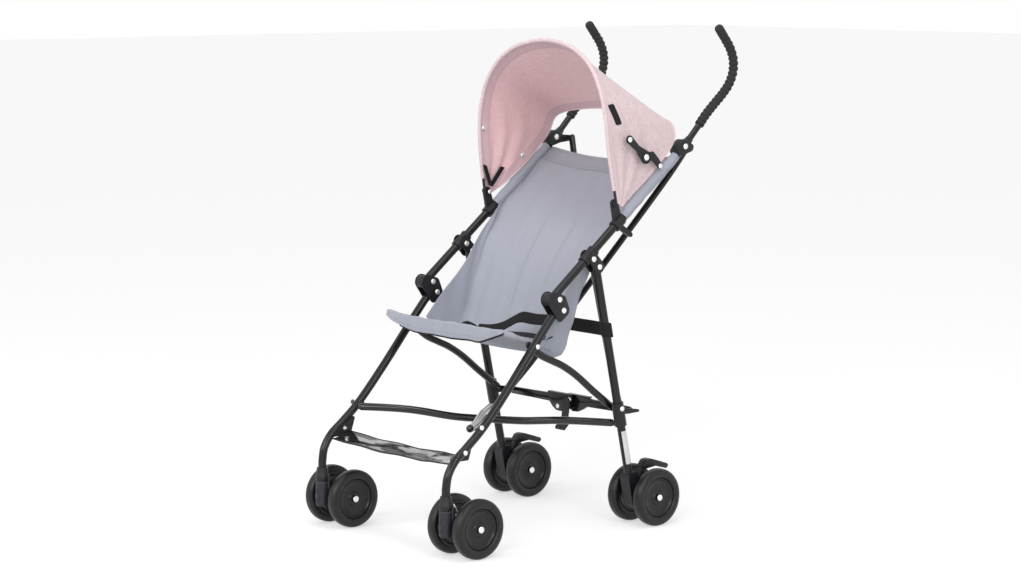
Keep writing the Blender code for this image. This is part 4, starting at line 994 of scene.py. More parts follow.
@dataclass
class Caster:
    """The smooth swivelling fork of one front foot."""

    side: Side

    def build(self) -> None:
        """Builds and dresses the fork."""
        word, x = self.side.word, self.side.x
        stem = ((0.0, -0.0148), (0.0108, -0.0148), (0.0128, -0.0138), (0.0138, -0.0112), (0.0140, -0.0080),
                (0.0140, 0.0330), (0.0135, 0.0368), (0.0124, 0.0382), (0.0, 0.0382))
        column = Bench.turned("column", stem, at(x, -CASTER_TRAIL, 0.0), (0, 0, 1), 40)
        slot = Bench.plate("rib", round_outline([(-CASTER_TRAIL - 0.0136, 0.024, 0.0014),
                                                 (-CASTER_TRAIL - 0.0136, -0.006, 0.0014)]), x - 0.0022, x + 0.0022)
        arm = Bench.plate("arm", round_outline([(-CASTER_TRAIL, 0.006, 0.0150), (0.0, 0.0, 0.0102)]),
                          x - 0.0070, x + 0.0070, 0.0016)
        hub = ((0.0, -0.0300), (0.0064, -0.0300), (0.0066, -0.0240), (0.0116, -0.0238), (0.0120, -0.0228),
               (0.0120, 0.0228), (0.0116, 0.0238), (0.0066, 0.0240), (0.0064, 0.0300), (0.0, 0.0300))
        barrel = Bench.turned("barrel", hub, at(x, 0.0, 0.0), (1, 0, 0), 32)
        dress(Bench.joined(f"swivel_fork_{word}", [column, slot, arm, barrel]), Look.HOUSING, "black_plastic",
              f"caster_{word}", f"caster_fork_{word}")


@dataclass
class RearLeg:
    """One straight rear leg with its rivets and the blank film on it."""

    side: Side
    radius: float = 0.0088
    film_span: Pair = (0.072, 0.142)

    def build(self) -> None:
        """Builds and dresses the leg."""
        word, x, s = self.side.word, self.side.x, self.side.value
        body = f"rear_leg_{word}"
        leg = Bench.tube(f"rear_tube_{word}", [at(x, *REAR_PIVOT), at(x, *REAR_LEG_FOOT)], self.radius,
                         28, (True, False))
        dress(leg, Look.FRAME, "black_steel", body, f"rear_leg_{word}")
        rivets = RivetSet(f"rear_rivets_{word}", body)
        rivets.add(at(x + s * 0.0120, *RAIL_REAR), (s, 0, 0))
        rivets.close()
        if self.side is Side.LEFT:
            self.build_film(x, body)

    def build_film(self, x: float, body: str) -> None:
        """A blank strip of film wrapped on the leg's outer side."""
        axis = (at(x, *REAR_PIVOT) - at(x, *REAR_LEG_FOOT)).normalized()
        back = Vector((1, 0, 0)).cross(axis)
        rows = []
        for h in np.linspace(*self.film_span, 12):
            share = (h - REAR_LEG_FOOT[1]) / (REAR_PIVOT[1] - REAR_LEG_FOOT[1])
            centre = at(x, *on_line(REAR_LEG_FOOT, REAR_PIVOT, share))
            rows.append([centre + (Vector((math.cos(a), 0, 0)) + back * math.sin(a)) * (self.radius + 0.0003)
                         for a in np.radians(np.linspace(-50, 50, 13))])
        grid = np.array(rows)
        film = Bench.cloth("leg_film_left", grid, 0.0002, levels=0)
        dress(film, Look.PALE, "black_plastic", body)
        declare(film, grid, "stretched", "rear_tube_left")


@dataclass
class SeatRail:
    """The bowed rail under one side of the seat, pressed flat at its pins."""

    side: Side
    inset: float = 0.0195
    radius: float = 0.0074
    route: Outline = ((0.182, 0.339), (0.214, 0.316), (0.245, 0.3015), (0.276, 0.2870),
                      (0.312, 0.2640), (0.355, 0.2300), (0.398, 0.1980), (0.4091, 0.1895))

    def build(self) -> None:
        """Builds and dresses the rail."""
        word, s = self.side.word, self.side.value
        x = s * (HALF_TRACK - self.inset)
        route = curve_through([at(x, y, h) for y, h in self.route], 5)
        rail = Bench.tube(f"bowed_rail_{word}", route, self.radius, 24, (True, True))
        ends = [np.array(route[0]), np.array(route[-1])]
        for vertex in rail.data.vertices:
            gap = min(float(np.linalg.norm(np.array(vertex.co) - end)) for end in ends)
            press = max(0.0, min(1.0, (0.026 - gap) / 0.014))
            vertex.co.x = x + (vertex.co.x - x) * (1 - 0.50 * press)
        dress(rail, Look.FRAME, "black_steel", f"seat_rail_{word}", f"seat_rail_{word}")


@dataclass
class CrossBar:
    """A back arm or a lower bar, from one side frame to the other."""

    name: str
    node: str
    body: str
    look: Look
    radius: float
    route: list[Vector]
    normal: Vector = field(default_factory=Vector)
    widen: float = 1.0

    def build(self) -> None:
        """Builds and dresses the bar."""
        bar = Bench.tube(self.name, self.route, self.radius, 24, (True, True))
        if self.widen != 1.0:
            along = (self.route[-1] - self.route[0]).normalized()
            across = along.cross(self.normal).normalized()
            for vertex in bar.data.vertices:
                off = (vertex.co - self.route[0]).dot(across)
                vertex.co += across * off * (self.widen - 1.0)
        dress(bar, self.look, "black_steel", self.body, self.node)


def back_arm(side: Side) -> CrossBar:
    """The back arm that starts at this side's handle joint."""
    s = side.value
    top = at(s * (HALF_TRACK - 0.0195), 0.624, 0.718)
    foot = at(-s * (HALF_TRACK - 0.022), 0.437, 0.178)
    along = foot - top
    normal = along.cross(Vector((-along.x, along.y, along.z))).normalized()
    if normal.y < 0:
        normal.negate()
    lift = normal * 0.0071 * s
    middle = (top + foot) / 2 + lift
    route = [top, top.lerp(middle, 0.30) + lift * 0.6, middle, foot.lerp(middle, 0.30) + lift * 0.6, foot]
    return CrossBar(f"back_arm_{side.word}", f"back_brace_{side.word}", f"back_brace_{side.word}", Look.FRAME,
                    0.0062, curve_through(route, 6), normal, 1.22)


def lower_bar(side: Side) -> CrossBar:
    """The lower bar that starts at this side's rear leg."""
    s = side.value
    rear = at(s * (HALF_TRACK - 0.026), 0.413, 0.1554)
    front = at(-s * (HALF_TRACK - 0.026), 0.034, 0.1865)
    drop = Vector((0, 0, -0.0090 * s))
    bends = ((0.0, 0.0), (0.10, 0.05), (0.20, 0.20), (0.28, 0.55), (0.36, 0.88), (0.50, 0.98), (0.61, 0.96),
             (0.68, 0.65), (0.75, 0.20), (0.82, -0.08), (0.91, -0.12), (1.0, 0.0))
    knots = [rear.lerp(front, share) + drop * dip for share, dip in bends]
    return CrossBar(f"floor_bar_{side.word}", f"lower_bar_{side.word}", f"lower_bar_{side.word}", Look.BAR,
                    0.0080, curve_through(knots, 5))


@dataclass
class TwinWheel:
    """One wheel of a pair: a foam tyre on a dished disc."""

    name: str
    body: str
    x: float
    spot: Pair
    tyre: Outline = ((0.0424, -0.0104), (0.0450, -0.0116), (0.0500, -0.0120), (0.0548, -0.0113), (0.0580, -0.0092),
                     (0.0596, -0.0060), (0.0600, -0.0022), (0.0600, 0.0022), (0.0596, 0.0060), (0.0580, 0.0092),
                     (0.0548, 0.0113), (0.0500, 0.0120), (0.0450, 0.0116), (0.0424, 0.0104), (0.0412, 0.0086),
                     (0.0412, -0.0086))
    half_disc: Outline = ((0.0413, 0.0062), (0.0404, 0.0076), (0.0390, 0.0082), (0.0374, 0.0078), (0.0362, 0.0060),
                          (0.0340, 0.0046), (0.0220, 0.0038), (0.0150, 0.0044), (0.0138, 0.0060), (0.0122, 0.0066),
                          (0.0066, 0.0066), (0.0050, 0.0058))

    def build(self) -> None:
        """Builds and dresses the wheel."""
        centre = at(self.x, *self.spot)
        tyre = Bench.turned(f"tyre_{self.name}", self.tyre, centre, (1, 0, 0), 64)
        dress(tyre, Look.TYRE, "tyre", self.body, self.body)
        disc = list(self.half_disc) + [(r, -a) for r, a in self.half_disc[::-1]]
        disc_piece = Bench.turned(f"disc_{self.name}", disc, centre, (1, 0, 0), 56)
        dress(disc_piece, Look.DISC, "black_plastic", self.body, self.body)


@dataclass
class WheelPair:
    """The two wheels of a foot and the bright heads of their axle."""

    side: Side
    end: str
    spot: Pair
    carrier: str
    head_profile: Outline = ((0.0, -0.0006), (0.0066, -0.0006), (0.0068, 0.0006), (0.0062, 0.0016), (0.0048, 0.0022),
                             (0.0026, 0.0020), (0.0020, 0.0012), (0.0, 0.0012))

    def build(self) -> None:
        """Builds both wheels and the axle heads."""
        word, x, s = self.side.word, self.side.x, self.side.value
        for place, offset in (("outer", TWIN_SPACING / 2), ("inner", -TWIN_SPACING / 2)):
            body = f"{self.end}_wheel_{word}_{place}"
            TwinWheel(f"{self.end}_{word}_{place}", body, x + s * offset, self.spot).build()
        reach = TWIN_SPACING / 2 + 0.0102
        heads = [Bench.turned("axle_head", self.head_profile, at(x + turn * reach, *self.spot), (turn, 0, 0), 24)
                 for turn in (-1, 1)]
        dress(Bench.joined(f"axle_heads_{self.end}_{word}", heads), Look.STEEL, "black_steel", self.carrier)


def interpolate(route: Outline, shares: np.ndarray) -> np.ndarray:
    """Places along a route by share of its points, on a smooth curve."""
    fine = curve_through([(a, b, 0.0) for a, b in route], 12)
    line = np.array(fine)[:, :2]
    spot = np.clip(shares, 0, 1) * (len(line) - 1)
    return np.stack([np.interp(spot, np.arange(len(line)), line[:, k]) for k in range(2)], axis=-1)


@dataclass
class SeatSling:
    """The sling: its back, the bucket under it with side gussets, and the padded base."""

    cloth: float = 0.0012
    sag: float = 0.026
    top_dip: float = 0.016
    side_x: float = 0.1866
    rail_x: float = 0.1720
    split: float = 0.46
    lap: float = 0.12
    sink: float = 0.0013
    back_route: Outline = ((0.578, 0.7005), (0.500, 0.6360), (0.420, 0.5640), (0.362, 0.4900),
                           (0.325, 0.4050), (0.302, 0.3440), (0.284, 0.3080))
    hang_route: Outline = ((0.579, 0.7050), (0.506, 0.6470), (0.431, 0.5880), (0.358, 0.5250),
                           (0.300, 0.4560), (0.2560, 0.3850), (0.2180, 0.3230))
    front: Pair = (0.112, 0.368)
    rear: Pair = (0.252, 0.322)
    front_half: float = 0.190
    rear_half: float = 0.1735
    thickness: float = 0.020

    def surface(self, t: np.ndarray, u: np.ndarray) -> np.ndarray:
        """Points of the sling.

        Args:
            t: Shares from the top hem to the bottom one, by rows.
            u: Shares across, from -1 to 1, by columns; past 0.9 they turn forward along the gusset.

        Returns:
            The points by rows and columns, in the row frame.
        """
        back = interpolate(self.back_route, t)
        far = self.hang_route[:-2] + ((0.2460, 0.4060), (0.2020, 0.3590))
        hang = np.where((u < 0)[None, :, None], interpolate(far, t)[:, None], interpolate(self.hang_route, t)[:, None])
        edge = self.side_x + (self.rail_x - self.side_x) * np.clip((t - 0.35) / 0.25, 0, 1)
        edge += 0.0115 * np.clip((0.40 - t) / 0.10, 0, 1)
        sag = self.sag * (0.35 + 0.65 * np.sin(np.pi * np.minimum(1.0, t * 1.15)))
        dip = self.top_dip * np.maximum(0.0, 1 - t * 3.2)
        size = np.abs(u)
        inner = np.minimum(1.0, size / 0.9)
        turn = np.clip((size - 0.9) / 0.1, 0, 1)[None, :]
        bow = (1 - inner ** 2)[None, :]
        tt, uu = t[:, None], u[None, :]
        creases = (0.0032 * np.sin(uu * 15.5 + tt * 2.2) + 0.0022 * np.sin(uu * 27 - tt * 5 + 1.0)
                   + 0.0038 * np.exp(-((uu + 0.50 - 0.16 * tt) / 0.030) ** 2)
                   + 0.0030 * np.exp(-((uu + 0.34 - 0.10 * tt) / 0.024) ** 2)
                   + 0.0022 * np.exp(-((uu - 0.30 - 0.20 * tt) / 0.035) ** 2)) * np.sin(np.pi * tt) ** 0.7
        pulls = 0.0018 * np.sin(34 * tt + 9 * np.abs(uu)) * np.exp(-((1 - inner[None, :]) / 0.16)) * (1 - turn)
        depth = sag[:, None] * bow + creases * (1 - inner ** 4)[None, :] + pulls
        y = back[:, :1] + depth * 0.62 - dip[:, None] * bow * 0.79
        h = back[:, 1:] - depth * 0.78 - dip[:, None] * bow * 0.62
        drape = 0.0024 * np.sin(22 * tt + 4 * turn) * np.sin(np.pi * turn)
        y = y * (1 - turn) + hang[:, :, 0] * turn
        h = h * (1 - turn) + hang[:, :, 1] * turn
        x = np.sign(uu) * ((edge[:, None] - 0.004) * inner[None, :] + 0.004 * turn + drape)
        return np.stack([x + 0 * y, y - MID_Y, h + WHEEL_RADIUS], axis=-1)

    def columns(self) -> np.ndarray:
        """The shares across, with more of them in the gussets."""
        flat = np.linspace(-0.9, 0.9, 61)
        fold = np.linspace(0.9, 1.0, 9)[1:]
        return np.concatenate([-fold[::-1], flat, fold])

    def build(self) -> None:
        """Builds the sling's pieces."""
        u = self.columns()
        upper_t = np.linspace(0.0, self.split + self.lap, 52)
        upper = self.surface(upper_t, u)
        self.sink_rows(upper, (upper_t - self.split) / self.lap)
        back = Bench.cloth("seat_back_cloth", upper, self.cloth, edge_distance(upper, "tlr"))
        self.finish_sheet(back, upper, SEAT_BODY, ["upper_tube_left", "upper_tube_right"], "seat_back",
                          trims=[self.build_top_hem(upper)])
        lower_t = np.linspace(self.split, 1.0, 48)
        lower = self.surface(lower_t, u)
        self.sink_rows(lower, 1 - (lower_t - self.split) / self.lap)
        lower = self.scallop(lower)
        start = float(np.linalg.norm(np.diff(upper[:, 30], axis=0), axis=1)[upper_t[1:] <= self.split].sum())
        bucket = Bench.cloth("seat_bucket_cloth", lower, self.cloth, edge_distance(lower, "blr"), begin=start)
        self.finish_sheet(bucket, lower, HINGED_BODY, ["bowed_rail_left", "bowed_rail_right"])
        self.build_base()

    def sink_rows(self, grid: np.ndarray, depth: np.ndarray) -> None:
        """Lets the lapped rows sink behind the other sheet, so that no step shows."""
        for row, share in zip(grid, np.clip(depth, 0, 1)):
            row[:, 1] += self.sink * share * 0.62
            row[:, 2] -= self.sink * share * 0.78

    def scallop(self, grid: np.ndarray) -> np.ndarray:
        """Lets the bottom hem of the left gusset hang in a shallow scallop."""
        down = np.linspace(0, 1, len(grid))[:, None] ** 3
        grid[:, -9:, 2] -= 0.010 * np.sin(np.pi * np.linspace(1, 0, 9)) * down
        return grid

    def finish_sheet(self, piece: Piece, grid: np.ndarray, body: str, rests_on: list[str],
                     *nodes: str, trims: Sequence[Piece] = ()) -> None:
        dress(piece, Look.SEAT, "seat_cloth", body, *nodes, keep=SEAT_KEEP)
        declare(piece, grid, "hung", *rests_on, trims=trims)

    def build_top_hem(self, upper: np.ndarray) -> Piece:
        """The doubled hem along the top edge of the back."""
        band = upper[:7, 9:-9].copy()
        band[:, :, 1] -= 0.0014
        band[:, :, 2] += 0.0012
        hem = Bench.cloth("seat_top_hem", band, 0.0009, edge_distance(band, "tb"))
        return dress(hem, Look.SEAT_HEM, "seat_cloth", SEAT_BODY, keep=SEAT_KEEP)

    def build_base(self) -> None:
        """The padded base: crowned, wide at its front lip and narrower between the rails."""
        rows, columns = 27, 49
        top = np.zeros((rows, columns, 3))
        low = np.zeros((rows, columns, 3))
        for i, t in enumerate(np.linspace(0, 1, rows)):
            y, h = on_line(self.front, self.rear, t)
            blend = min(1.0, max(0.0, (t - 0.22) / 0.14))
            wide = self.front_half + (self.rear_half - self.front_half) * blend
            end = math.sqrt(max(0.0, 1 - abs(2 * t - 1) ** 16))
            for j, a in enumerate(np.linspace(-1, 1, columns)):
                side = math.sqrt(max(0.0, 1 - abs(a) ** 20))
                crown = self.thickness / 2 * (0.45 + 0.55 * side * end) * (1 - 0.25 * t)
                channel = 0.0016 * math.exp(-((abs(a) - 0.34) / 0.012) ** 2)
                lip = 0.0022 * math.exp(-((t - 0.15) / 0.018) ** 2)
                wave = 0.0011 * math.sin(7 * a + 5 * t) + 0.0008 * math.sin(23 * a - 3 * t)
                lift = 0.011 * max(0.0, abs(a) - 0.80) / 0.20 * (1 - t) ** 2 if a < 0 else 0.0
                x = wide * a
                top[i, j] = at(x, y, h + crown - (channel + lip) * end + wave * side * end + lift)
                low[i, j] = at(x, y, h - crown * 0.75 + wave * 0.5 * side * end + lift)
        count = rows * columns
        faces = []
        for i in range(rows - 1):
            for j in range(columns - 1):
                a, b = i * columns + j, (i + 1) * columns + j
                faces.append((a, b, b + 1, a + 1)[::-1])
                faces.append((count + a, count + b, count + b + 1, count + a + 1))
        rim = list(range(columns)) + [i * columns + columns - 1 for i in range(1, rows)]
        rim += [(rows - 1) * columns + j for j in range(columns - 2, -1, -1)]
        rim += [i * columns for i in range(rows - 2, 0, -1)]
        faces += [(a, count + a, count + b, b) for a, b in zip(rim, rim[1:] + rim[:1])]
        mesh = bpy.data.meshes.new("seat_base_pad")
        mesh.from_pydata(top.reshape(-1, 3).tolist() + low.reshape(-1, 3).tolist(), [], faces)
        gap = edge_distance(top).reshape(-1)
        Bench.map_cloth(mesh, Bench.places(mesh)[:, :2] * (1.0, 1.05), np.concatenate([gap, gap]))
        pad = bpy.data.objects.new("seat_base_pad", mesh)
        bpy.context.scene.collection.objects.link(pad)
        Bench.clean(pad)
        Bench.modify(pad, "SUBSURF", levels=1, render_levels=1)
        Bench.smooth(pad, 70)
        dress(pad, Look.SEAT, "seat_cloth", HINGED_BODY, "seat_base", keep=SEAT_KEEP)
        self.build_lip_binding()

    def build_lip_binding(self) -> None:
        """The band of seat cloth that hangs from the front lip, with its black binding."""
        y, h = self.front
        rows, low_edge = [], []
        for a in np.linspace(-0.985, 0.985, 61):
            x = self.front_half * a
            share = min(1.0, (1 - abs(a)) / 0.40)
            top = h + 0.0078
            drop = 0.0035 + 0.0225 * share ** 0.8 + 0.0045 * (1 - a * a) + 0.0008 * math.sin(13 * a)
            bend = 0.0011 * math.sin(17 * a) + 0.0008 * math.sin(31 * a + 1)
            rows.append([at(x, y - 0.0012 - 0.0006 * k + bend * k / 5, top - drop * k / 5) for k in range(6)])
            low_edge.append(at(x, y - 0.0016 + bend, top - drop - 0.0012))
        grid = np.array(rows).transpose(1, 0, 2)
        band = Bench.cloth("seat_lip_band", grid, 0.0022, edge_distance(grid, "b"))
        half = Vector((0, 0.0004, 0.0022))
        strip = np.array([[p + half * k for k in (-1.0, 0.0, 1.0)] for p in low_edge[7:]])
        binding = Bench.cloth("lip_binding", strip, 0.0030, levels=1)
        dress(binding, Look.WEBBING, "black_webbing", HINGED_BODY, keep=SEAT_KEEP)
        self.finish_sheet(band, grid, HINGED_BODY, ["seat_base_pad"], trims=[binding])


@dataclass
class Belt:
    """A flat strap along a line of points."""

    name: str
    body: str
    line: Sequence[Vector]
    width_way: Vector
    width: float
    thickness: float = 0.0016
    nodes: tuple[str, ...] = ()
    keep: float = SEAT_KEEP
    held: str = "laid"
    rests_on: str = "seat_base_pad"

    def build(self) -> None:
        route = curve_through(self.line, 5)
        half = self.width_way.normalized() * self.width / 2
        grid = np.array([[p + half * k for k in (-1.0, -0.5, 0.0, 0.5, 1.0)] for p in route])
        strap = Bench.cloth(self.name, grid, self.thickness, levels=1)
        dress(strap, Look.WEBBING, "black_webbing", self.body, *self.nodes, keep=self.keep)
        declare(strap, grid, self.held, self.rests_on)


@dataclass
class Harness:
    """The runs of the lap strap that lie on the seat."""

    lap: Sequence[Place] = ((-0.034, 0.228, 0.3455), (0.000, 0.232, 0.3475), (0.030, 0.237, 0.3550),
                            (0.060, 0.242, 0.3700), (0.085, 0.246, 0.3810), (0.115, 0.254, 0.3790),
                            (0.148, 0.262, 0.3800), (0.174, 0.268, 0.3850))
    loop: Sequence[Place] = ((-0.092, 0.224, 0.3420), (-0.076, 0.219, 0.3500), (-0.058, 0.219, 0.3560),
                             (-0.042, 0.223, 0.3520), (-0.034, 0.228, 0.3460))
    tail: Sequence[Place] = ((0.020, 0.226, 0.3440), (0.060, 0.222, 0.3470), (0.105, 0.226, 0.3500),
                             (0.150, 0.236, 0.3480), (0.174, 0.244, 0.3460))

    def build(self) -> None:
        """Builds the straps."""
        for name, run, way, width, thickness, *nodes in (
                ("lap_strap", self.lap, (0.10, 0.35, 0.95), 0.024, 0.0018, "harness_strap"),
                ("strap_loop_seat", self.loop, (0.05, 0.45, 0.9), 0.0106, 0.0016),
                ("lap_strap_tail", self.tail, (0.1, 0.9, 0.25), 0.022, 0.0016)):
            Belt(name, HINGED_BODY, [at(*p) for p in run], Vector(way), width, thickness, tuple(nodes)).build()


@dataclass
class Footrest:
    """The glossy strip between the front legs, with its turned edges."""

    half: float = 0.1882
    front: float = -0.030
    rear: float = 0.017
    level: float = 0.1280
    sag: float = 0.005
    rise: float = 0.010

    def build(self) -> None:
        """Builds and dresses the strip."""
        rows = []
        for t in np.linspace(0, 1, 13):
            y = self.front + (self.rear - self.front) * t
            row = []
            for a in np.linspace(-1, 1, 61):
                dip = self.sag * (1 - a ** 2)
                crease = 0.0011 * math.sin(9 * a + 3 * t) + 0.0007 * math.sin(21 * a - 5 * t) * max(0.0, a)
                twist = 0.0022 * math.sin(math.pi * t) * math.cos(3.2 * a + 0.6)
                h = self.level - 0.003 - dip + self.rise * t + (crease + twist) * (1 - a ** 4)
                row.append(at(self.half * a, y, h))
            rows.append(row)
        grid = np.array(rows)
        strip = Bench.cloth("footrest_vinyl_strip", grid, 0.0016, edge_distance(grid, "tb"))
        dress(strip, Look.VINYL, "black_vinyl", "footrest", "footrest_strip", keep=SEAT_KEEP)
        declare(strip, grid, "stretched", "footrest_bracket_left")
        for label, row in (("front", rows[0]), ("rear", rows[-1])):
            edge = Bench.tube(f"footrest_binding_{label}", row, 0.0016, 12, (True, True))
            dress(edge, Look.PLASTIC, "black_vinyl", "footrest", keep=SEAT_KEEP)


@dataclass
class RearStrap:
    """The webbing behind the seat, looped round each rear leg."""

    low: float = 0.340
    width: float = 0.030

    def leg_y(self, h: float) -> float:
        """The rear legs' y at a height."""
        return on_line(REAR_PIVOT, REAR_LEG_FOOT, (REAR_PIVOT[1] - h) / (REAR_PIVOT[1] - REAR_LEG_FOOT[1]))[0]

    def build(self) -> None:
        """Builds the strap and its two loops."""
        rows = []
        reach = HALF_TRACK - 0.0090
        for h in np.linspace(self.low, self.low + self.width, 7):
            y = self.leg_y(h)
            rows.append([at(reach * a, y + 0.004 + 0.008 * (1 - a ** 2) + 0.0012 * math.sin(9 * a), h)
                         for a in np.linspace(-1, 1, 45)])
        grid = np.array(rows)
        strap = Bench.cloth("rear_webbing", grid, 0.0016, levels=1)
        dress(strap, Look.WEBBING, "black_webbing", "rear_strap", "rear_strap", keep=SEAT_KEEP)
        declare(strap, grid, "stretched", "rear_tube_left", "rear_tube_right")
        for side in Side:
            self.build_loop(side)

    def build_loop(self, side: Side) -> None:
        """The turn of webbing round one rear leg, with the bump of its sewn end."""
        rows = []
        for h in np.linspace(self.low, self.low + self.width, 7):
            y = self.leg_y(h)
            row = []
            for a in np.radians(np.linspace(-180, 180, 41)):
                r = 0.0102 + 0.0035 * math.exp(-((a - 0.5) / 0.35) ** 2)
                row.append(at(side.x + side.value * r * math.cos(a), y + r * math.sin(a), h))
            rows.append(row)
        grid = np.array(rows)
        loop = Bench.cloth(f"strap_loop_{side.word}", grid, 0.0014, levels=1)
        dress(loop, Look.WEBBING, "black_webbing", f"rear_leg_{side.word}")
        declare(loop, grid, "stretched", f"rear_tube_{side.word}")


@dataclass
class Canopy:
    """The canopy: the cased bow, the front and rear panels, their straps and snaps."""

    cloth: float = 0.0012
    bulge: float = 0.004
    seam: float = 0.43
    lap: float = 0.10
    arch: tuple = ((0.2066, 0.395, 0.612), (0.2045, 0.386, 0.665), (0.2015, 0.378, 0.720), (0.1965, 0.375, 0.780),
                   (0.1800, 0.375, 0.838), (0.1480, 0.378, 0.886), (0.1040, 0.381, 0.917), (0.0530, 0.384, 0.933),
                   (0.0000, 0.385, 0.938))
    hem: tuple = ((0.2066, 0.412, 0.604), (0.1985, 0.446, 0.627), (0.1960, 0.500, 0.665), (0.1950, 0.564, 0.724),
                  (0.1840, 0.576, 0.762), (0.1500, 0.573, 0.777), (0.1040, 0.568, 0.784), (0.0530, 0.563, 0.789),
                  (0.0000, 0.560, 0.791))
    per_span: int = 6
    casing_radius: float = 0.0040
    wire_radius: float = 0.0027
    tag_corners: Outline = ((0.3850, 0.8120), (0.4030, 0.8140), (0.4200, 0.7720), (0.4020, 0.7700))
    elastic_foot: Pair = (0.403, 0.622)
    elastic_tops: tuple[tuple[str, Place], ...] = (("front", (0.001, 0.386, 0.668)), ("rear", (0.004, 0.434, 0.662)))
    snaps: tuple[tuple[str, str, Place], ...] = (("front", "canopy", (0.1970, 0.386, 0.747)),
                                                 ("rear", SEAT_BODY, (0.1955, 0.494, 0.684)))

    def line(self, half: tuple) -> np.ndarray:
        """A line over the canopy from its left half."""
        knots = [at(*p) for p in half] + [at(-p[0], p[1], p[2]) for p in half[-2::-1]]
        return np.array(curve_through(knots, self.per_span))

    def surface(self, shares: np.ndarray) -> np.ndarray:
        """Points of the cloth, by share from the bow to the rear hem."""
        arch, hem = self.line(self.arch), self.line(self.hem)
        count = len(arch)
        v = np.linspace(0, 1, count)
        run = np.gradient(arch, axis=0)
        run /= np.linalg.norm(run, axis=1, keepdims=True)
        away = (hem - arch) - run * np.sum((hem - arch) * run, axis=1, keepdims=True)
        away /= np.linalg.norm(away, axis=1, keepdims=True)
        start = arch + away * 0.0030
        heart = np.array(at(0.0, 0.47, 0.66))
        rows = []
        for t in shares:
            point = start * (1 - t) + hem * t
            out = point - heart
            out /= np.linalg.norm(out, axis=1, keepdims=True)
            belly = np.sin(np.pi * t)
            swell = self.bulge * belly * np.sin(np.pi * v) ** 2.4
            swell += 0.0022 * np.sin(9 * np.pi * v) * belly
            corner = np.exp(-((v - 0.87) / 0.08) ** 2) + 0.6 * np.exp(-((v - 0.13) / 0.08) ** 2)
            swell += 0.0034 * np.sin(21 * t - 46 * np.abs(v - 0.5)) * corner * belly
            swell += 0.0018 * np.sin(40 * v + 6 * t) * belly * np.exp(-((t - 0.85) / 0.2) ** 2)
            rows.append(point + out * swell[:, None])
        return np.array(rows)

    def build(self) -> None:
        """Builds the canopy's pieces."""
        front_t = np.linspace(0.0, self.seam, 18)
        rear_t = np.linspace(self.seam - self.lap, 1.0, 26)
        front, rear = self.surface(front_t), self.surface(rear_t)
        thin = np.clip((self.seam - front_t) / self.lap, 0, 1) * 0.8 + 0.2
        self.panel("canopy_front_panel", front, "canopy", "tlr", thin, 0.0, ["bow_casing"])
        thin = np.clip((rear_t - self.seam + self.lap) / self.lap, 0, 1) * 0.8 + 0.2
        start = float(np.linalg.norm(np.diff(front[:, 48], axis=0), axis=1).sum()) * (1 - self.lap / self.seam)
        self.panel("canopy_rear_panel", rear, SEAT_BODY, "blr", thin, start, ["upper_tube_left", "upper_tube_right"])
        self.build_bow()
        self.build_piping(rear[-1])
        self.build_straps()
        self.build_snaps()
        self.build_tag(front, rear)

    def panel(self, name: str, grid: np.ndarray, body: str, hems: str, taper: np.ndarray, begin: float,
              on: list[str]) -> None:
        """Makes and dresses one panel."""
        piece = Bench.cloth(name, grid, self.cloth, edge_distance(grid, hems), inner=True, begin=begin, taper=taper)
        # The panel's first finish is the inside copy of the canopy cloth, painted lighter and pinker as painted light
        # through the cloth.
        dress(piece, Look.CANOPY_INNER, "canopy_cloth", body, "canopy_shell", inner=Look.CANOPY, keep=CANOPY_KEEP)
        declare(piece, grid, "stretched", *on)

    def build_bow(self) -> None:
        """The bow in its casing of cloth, and its two end eyes."""
        line = [Vector(p) for p in self.line(self.arch)]
        grid = self.tube_grid(line[3:-3], self.casing_radius)
        casing = Bench.cloth("bow_casing", grid, 0.0008, edge_distance(grid, "tb"))
        dress(casing, Look.CANOPY, "canopy_cloth", "canopy", "canopy_bow", keep=CANOPY_KEEP)
        declare(casing, grid, "stretched", "bow_wire")
        wires = [Bench.tube("wire", part, self.wire_radius, 12, (True, True)) for part in (line[:5], line[-5:])]
        for s in (1, -1):
            profile = ((0.0, 0.0), (0.0072, 0.0), (0.0075, 0.0006), (0.0075, 0.0026), (0.0068, 0.0032), (0.0, 0.0032))
            wires.append(Bench.turned("eye", profile, at(s * (HALF_TRACK + 0.0034), *CANOPY_PIVOT), (s, 0, 0), 24))
        dress(Bench.joined("bow_wire", wires), Look.PLASTIC, "black_steel", "canopy", keep=CANOPY_KEEP)

    def tube_grid(self, line: Sequence[Vector], radius: float) -> np.ndarray:
        """A round casing along a line, as a grid."""
        rows = []
        for k, centre in enumerate(line):
            run = (line[min(k + 1, len(line) - 1)] - line[max(k - 1, 0)]).normalized()
            side = run.cross(Vector((0, 1, 0))).normalized()
            other = run.cross(side)
            rows.append([centre + (side * math.cos(a) + other * math.sin(a)) * radius
                         for a in np.linspace(0, 2 * math.pi, 17)])
        return np.array(rows)

    def build_piping(self, hem: np.ndarray) -> None:
        """The bound edge of the rear hem."""
        route = [Vector(p) for p in hem[4:-4]]
        piping = Bench.tube("canopy_rear_binding", route, 0.0016, 10, (True, True))
        x, y, z = Bench.places(piping.data).T
        Bench.map_cloth(piping.data, np.stack([x + y * 0.3, z], axis=-1), np.full(len(x), NO_HEM))
        dress(piping, Look.CANOPY, "canopy_cloth", SEAT_BODY, keep=CANOPY_KEEP)

